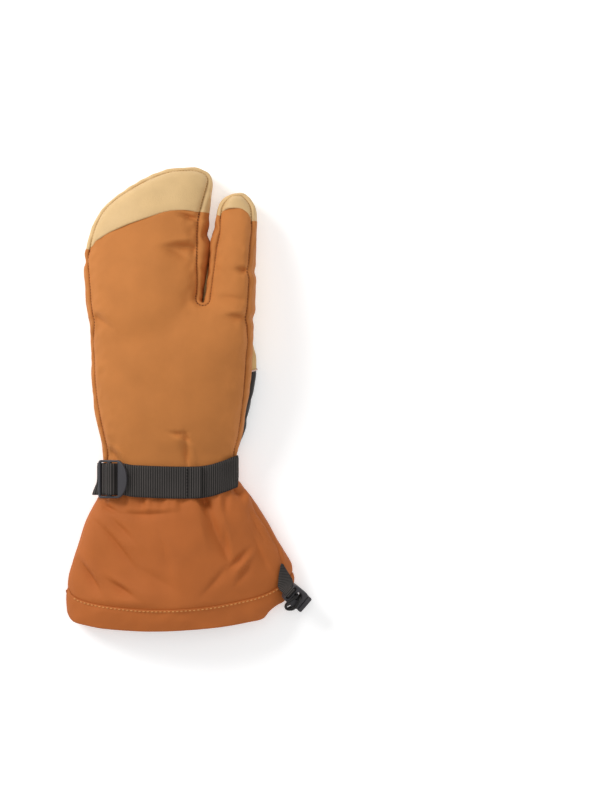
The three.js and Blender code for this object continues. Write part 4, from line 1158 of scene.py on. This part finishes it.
def build_strap():
    half = STRAP["width"] / 2
    ribs = STRAP["rib"], STRAP["relief"]
    ribbon("webbing_strap", cross_lines(half, 13, strap_knots, 12), STRAP["thick"], ["wrist_strap"], *ribs)

    def folded_knots(aside):
        return [strap_point(x, aside, 1.85) for x in (7.6, 10, 13, 15.6, 16.8)]

    ribbon("folded_strap_end", cross_lines(half - 0.2, 13, folded_knots, 10), 1.2, [], *ribs)
    for name, x, above in (("tail_stitches", 6, 1.3), ("tail_stitches_inner", 9.2, 2.3)):
        row = [strap_point(x, aside, 1) + (0, 0, above) for aside in np.linspace(-11.4, 11.4, 12)]
        stitches(name, np.array(row), 2.4, 1.5, 0.6, DARK_THREAD)
    ribbon("buckle_loop", cross_lines(half + 0.2, 9, anchor_knots, 8), 1.2, ["strap_anchor"], *ribs)


def flat_part(name, outlines, thick, rounding, node, matrix):
    """A moulded flat part with rounded edges, from closed outlines in millimetres, the outer one first."""
    curve = bpy.data.curves.new(name, "CURVE")
    curve.dimensions = "2D"
    curve.fill_mode = "BOTH"
    curve.extrude = (thick / 2 - rounding) * MM
    curve.bevel_depth = rounding * MM
    curve.bevel_resolution = 3
    curve.offset = -rounding * MM
    for outline in outlines:
        spline = curve.splines.new("POLY")
        spline.points.add(len(outline) - 1)
        for point, (x, y) in zip(spline.points, outline):
            point.co = (x * MM, y * MM, 0, 1)
        spline.use_cyclic_u = True
    temporary = link_object(name + " curve", curve)
    bpy.context.view_layer.update()
    mesh = bpy.data.meshes.new_from_object(temporary.evaluated_get(bpy.context.evaluated_depsgraph_get()))
    bpy.data.objects.remove(temporary)
    mesh.name = name
    mesh.transform(matrix)
    weld(mesh)
    mesh.materials.clear()
    mesh.materials.append(PLASTIC)
    mesh.polygons.foreach_set("use_smooth", [True] * len(mesh.polygons))
    return claim(link_object(name, mesh), [node])


def weld(mesh):
    edit = bmesh.new()
    edit.from_mesh(mesh)
    bmesh.ops.remove_doubles(edit, verts=edit.verts, dist=1e-6)
    bmesh.ops.recalc_face_normals(edit, faces=edit.faces)
    edit.to_mesh(mesh)
    edit.free()


def arc_points(x, y, radius, start, end, steps=8):
    turn = np.radians(np.linspace(start, end, steps))
    return np.column_stack([x + radius * np.cos(turn), y + radius * np.sin(turn)]).tolist()


def rounded(left, right, low, high, radius):
    corners = [
        (right - radius, high - radius), (left + radius, high - radius), (left + radius, low + radius),
        (right - radius, low + radius),
    ]
    return [p for i, (x, y) in enumerate(corners) for p in arc_points(x, y, radius, 90 * i, 90 * i + 90)]


def build_buckle():
    """A frame with two slots and a rounded tab."""
    end, half, corner = BUCKLE["long"] / 2, BUCKLE["high"] / 2, 2.5
    outline = [[end - 9 + 9 * math.cos(a), half * math.sin(a)] for a in np.linspace(-1.45, 1.45, 24)]
    outline += arc_points(-end + corner, half - corner, corner, 90, 180)
    outline += arc_points(-end + corner, -half + corner, corner, 180, 270)
    inner = half - 1.8
    holes = [rounded(left, right, -inner, inner, 0.8) for left, right in ((-10.6, -4.4), (-1.4, 4.6))]
    place = Matrix.Translation(Vector((BUCKLE["x"], BUCKLE["y"], BUCKLE["z"])) * MM)
    place = place @ Matrix.Rotation(-math.radians(BUCKLE["tilt"]), 4, "Y")
    flat_part("ladder_buckle", [outline, *holes], BUCKLE["thick"], 0.8, "strap_buckle", place)


build_strap()
build_buckle()


# The cord lock, its tape and the drawcord
LOCK = {"x": 88.7, "y": -150.6, "z": 18.6, "turn": -41, "tilt": 20, "thick": 9, "wide": 15}
LOCK_HOLE = {"along": -1.4, "aside": 1.6}
LOCK_PLACE = (Matrix.Translation((LOCK["x"], LOCK["y"], LOCK["z"]))
              @ Matrix.Rotation(math.radians(LOCK["turn"]), 4, "Z")
              @ Matrix.Rotation(math.radians(LOCK["tilt"]), 4, "Y"))
TETHER = {"width": 8.4, "thick": 1.0}
TETHER_EDGES = [
    [77, -124.6, 21.2, 78.4, -125.2, 20], [75.6, -131, 21.8, 81.8, -131, 18.4],
    [74.8, -137, 22.2, 85, -136.2, 18.4], [74.8, -143, 23, 86, -139.6, 20.6],
]
TETHER_LOOP = [[-11, 3.6], [-9.9, 5.2], [-8.2, 5.6], [-7.2, 4.4], [-7.1, 1], [-7.1, -4]]
CORD_DIAMETER = 2.2
CORD_START = [[80, -157.4, 5.6], [83.6, -155.8, 4.4], [87.6, -151.8, 7]]
CORD_BIGHT = [
    [-1.25, 0, -6], [-1.25, 0, 0], [-1.25, 0, 4.6], [-1.8, -1.4, 6.6], [-2.7, -4, 6.5],
    [-3.3, -7, 6.2], [-3.2, -9.8, 4.8], [-1.8, -12, 3.2], [0, -12.8, 2.8],
]


def lock_spot(along, aside, above):
    return np.array(LOCK_PLACE @ Vector((along, aside, above)))


def cord_route():
    def spot(row, side):
        return lock_spot(LOCK_HOLE["along"] + side * row[0], LOCK_HOLE["aside"] + row[1], row[2])

    out = [spot(row, 1) for row in CORD_BIGHT]
    back = [spot(row, -1) for row in CORD_BIGHT[-2::-1]]
    end = [np.array(p) + (2.4, -2.2, -1.2) for p in CORD_START[::-1]]
    return [np.array(p, float) for p in CORD_START] + out + back + end


def build_cord():
    path = resampled(catmull(cord_route(), 12), 0.35)

    def braid(i, turn):
        return 1 + 0.05 * np.sin(6 * turn + i * 1.1) * np.sin(6 * turn - i * 1.1)

    flat, faces = tube_mesh(path, CORD_DIAMETER / 2, 24, braid)
    return add_piece("drawcord_bight", flat, faces, CORD_COVER, ["drawcord"]), path


def build_lock():
    half, thick = LOCK["wide"] / 2, LOCK["thick"]
    place = Matrix.Scale(MM, 4) @ LOCK_PLACE @ Matrix.Scale(1 / MM, 4)
    side = [
        [-9.6, half - 2.2], [-8.4, half - 0.5], [-7.4, half - 0.2],
        [3, half], [4.4, half - 0.5], [5, half - 1.6],
    ]
    outline = [[x, -y] for x, y in side] + side[::-1]
    hole = arc_points(LOCK_HOLE["along"], LOCK_HOLE["aside"], 2.8, 0, 345, 24)
    slot = rounded(-8.2, -6, -5, 5, 0.8)
    press = rounded(5.4, 9.2, -6.8, 6.8, 1.4)
    body = flat_part("lock_body", [outline, hole, slot], thick, 1.1, "cord_lock", place)
    return body, flat_part("lock_push_button", [press], thick - 0.4, 1.0, "lock_button", place)


def tether_knots(aside):
    share = aside / TETHER["width"] + 0.5
    knots = [np.array(row[:3]) * (1 - share) + np.array(row[3:]) * share for row in TETHER_EDGES]
    return knots + [lock_spot(along, aside, above) for along, above in TETHER_LOOP]


def build_tether():
    paths = cross_lines(TETHER["width"] / 2, 7, tether_knots, 10)
    ribbon("lock_tape", paths, TETHER["thick"], ["lock_tether"], 1.2, 0.08)


cord, cord_path = build_cord()
lock, button = build_lock()
build_tether()


# The leather patch, sewn over the index side under the hand
PATCH_OUTLINE = [
    [47, 35], [52, 27], [54.6, 40], [55.4, 60], [56, 80], [56.5, 100], [56.6, 115], [46, 114.5],
    [39.6, 114.5], [37.3, 95.5], [43.3, 84.3], [36.6, 79.5], [38, 62], [44, 46],
]


def patch_height(x, y):
    """Over the palm, and out over the side band, which is fuller than the palm's own curve there."""
    return palm_height(x, y) - 1.1 - 1.9 * np.clip((x - 52) / 4.5, 0, 1)


def build_patch():
    outline = resampled(np.array(PATCH_OUTLINE + PATCH_OUTLINE[:1], float), 1.2)[:-1]
    lines = [(outline, 0.3)]
    nodes = ["index_patch"]
    panel("sewn_patch", outline, patch_height, 1.2, PALM_LEATHER, nodes, -1, lines, step=1.2)
    closed = np.concatenate([outline, outline[:1]])
    plan = closed - path_normals(closed) * 2
    path = np.column_stack([plan, patch_height(plan[:, 0], plan[:, 1]) - 0.15])
    stitches("patch_stitches", path, 3, 2, 0.55, TAN_THREAD)


build_patch()


# Light, floor and camera, at the photograph's straight view from above
def add_area(name, place, size, power):
    """A square lamp that points at the mitt."""
    data = bpy.data.lights.new(name, "AREA")
    data.shape = "RECTANGLE"
    data.size = data.size_y = size
    data.energy = power
    lamp = link_object(name, data)
    lamp.location = place
    lamp.rotation_euler = (-Vector(place)).to_track_quat("-Z", "Y").to_euler()


def build_stage():
    material = bpy.data.materials.new("pale floor")
    material.use_nodes = True
    set_inputs(material.node_tree.nodes["Principled BSDF"], {
        "Base Color": (0.92, 0.92, 0.92, 1), "Roughness": 0.9,
        "Emission Color": (1, 1, 1, 1), "Emission Strength": 0.36,
    })
    mesh = bpy.data.meshes.new("floor")
    size = 4
    corners = [(-size, -size, 0), (size, -size, 0), (size, size, 0), (-size, size, 0)]
    mesh.from_pydata(corners, [], [(0, 1, 2, 3)])
    mesh.materials.append(material)
    link_object("floor", mesh)
    world = bpy.data.worlds.new("studio")
    world.use_nodes = True
    set_inputs(world.node_tree.nodes["Background"], {"Color": (1, 1, 1, 1), "Strength": 0.42})
    bpy.context.scene.world = world
    add_area("key", (-1.1, 0.9, 0.95), 0.7, 17)
    add_area("top", (0.1, 0.1, 1.9), 1.2, 7)
    add_area("fill", (1.2, -0.7, 0.9), 1.2, 2)
    bpy.context.scene.view_settings.view_transform = "Standard"


def build_camera():
    """Looks straight down. The frame's centre and height are the photograph's, in millimetres."""
    frame_centre = (91.2, -0.4)
    frame_height = 608
    distance = 2.6
    data = bpy.data.cameras.new("camera")
    data.sensor_fit = "VERTICAL"
    data.sensor_height = 32
    data.lens = data.sensor_height * distance / (frame_height * MM)
    camera = link_object("camera", data)
    camera.location = (frame_centre[0] * MM, frame_centre[1] * MM, distance + 0.02)
    bpy.context.scene.camera = camera


build_stage()
build_camera()

bpy.context.view_layer.update()
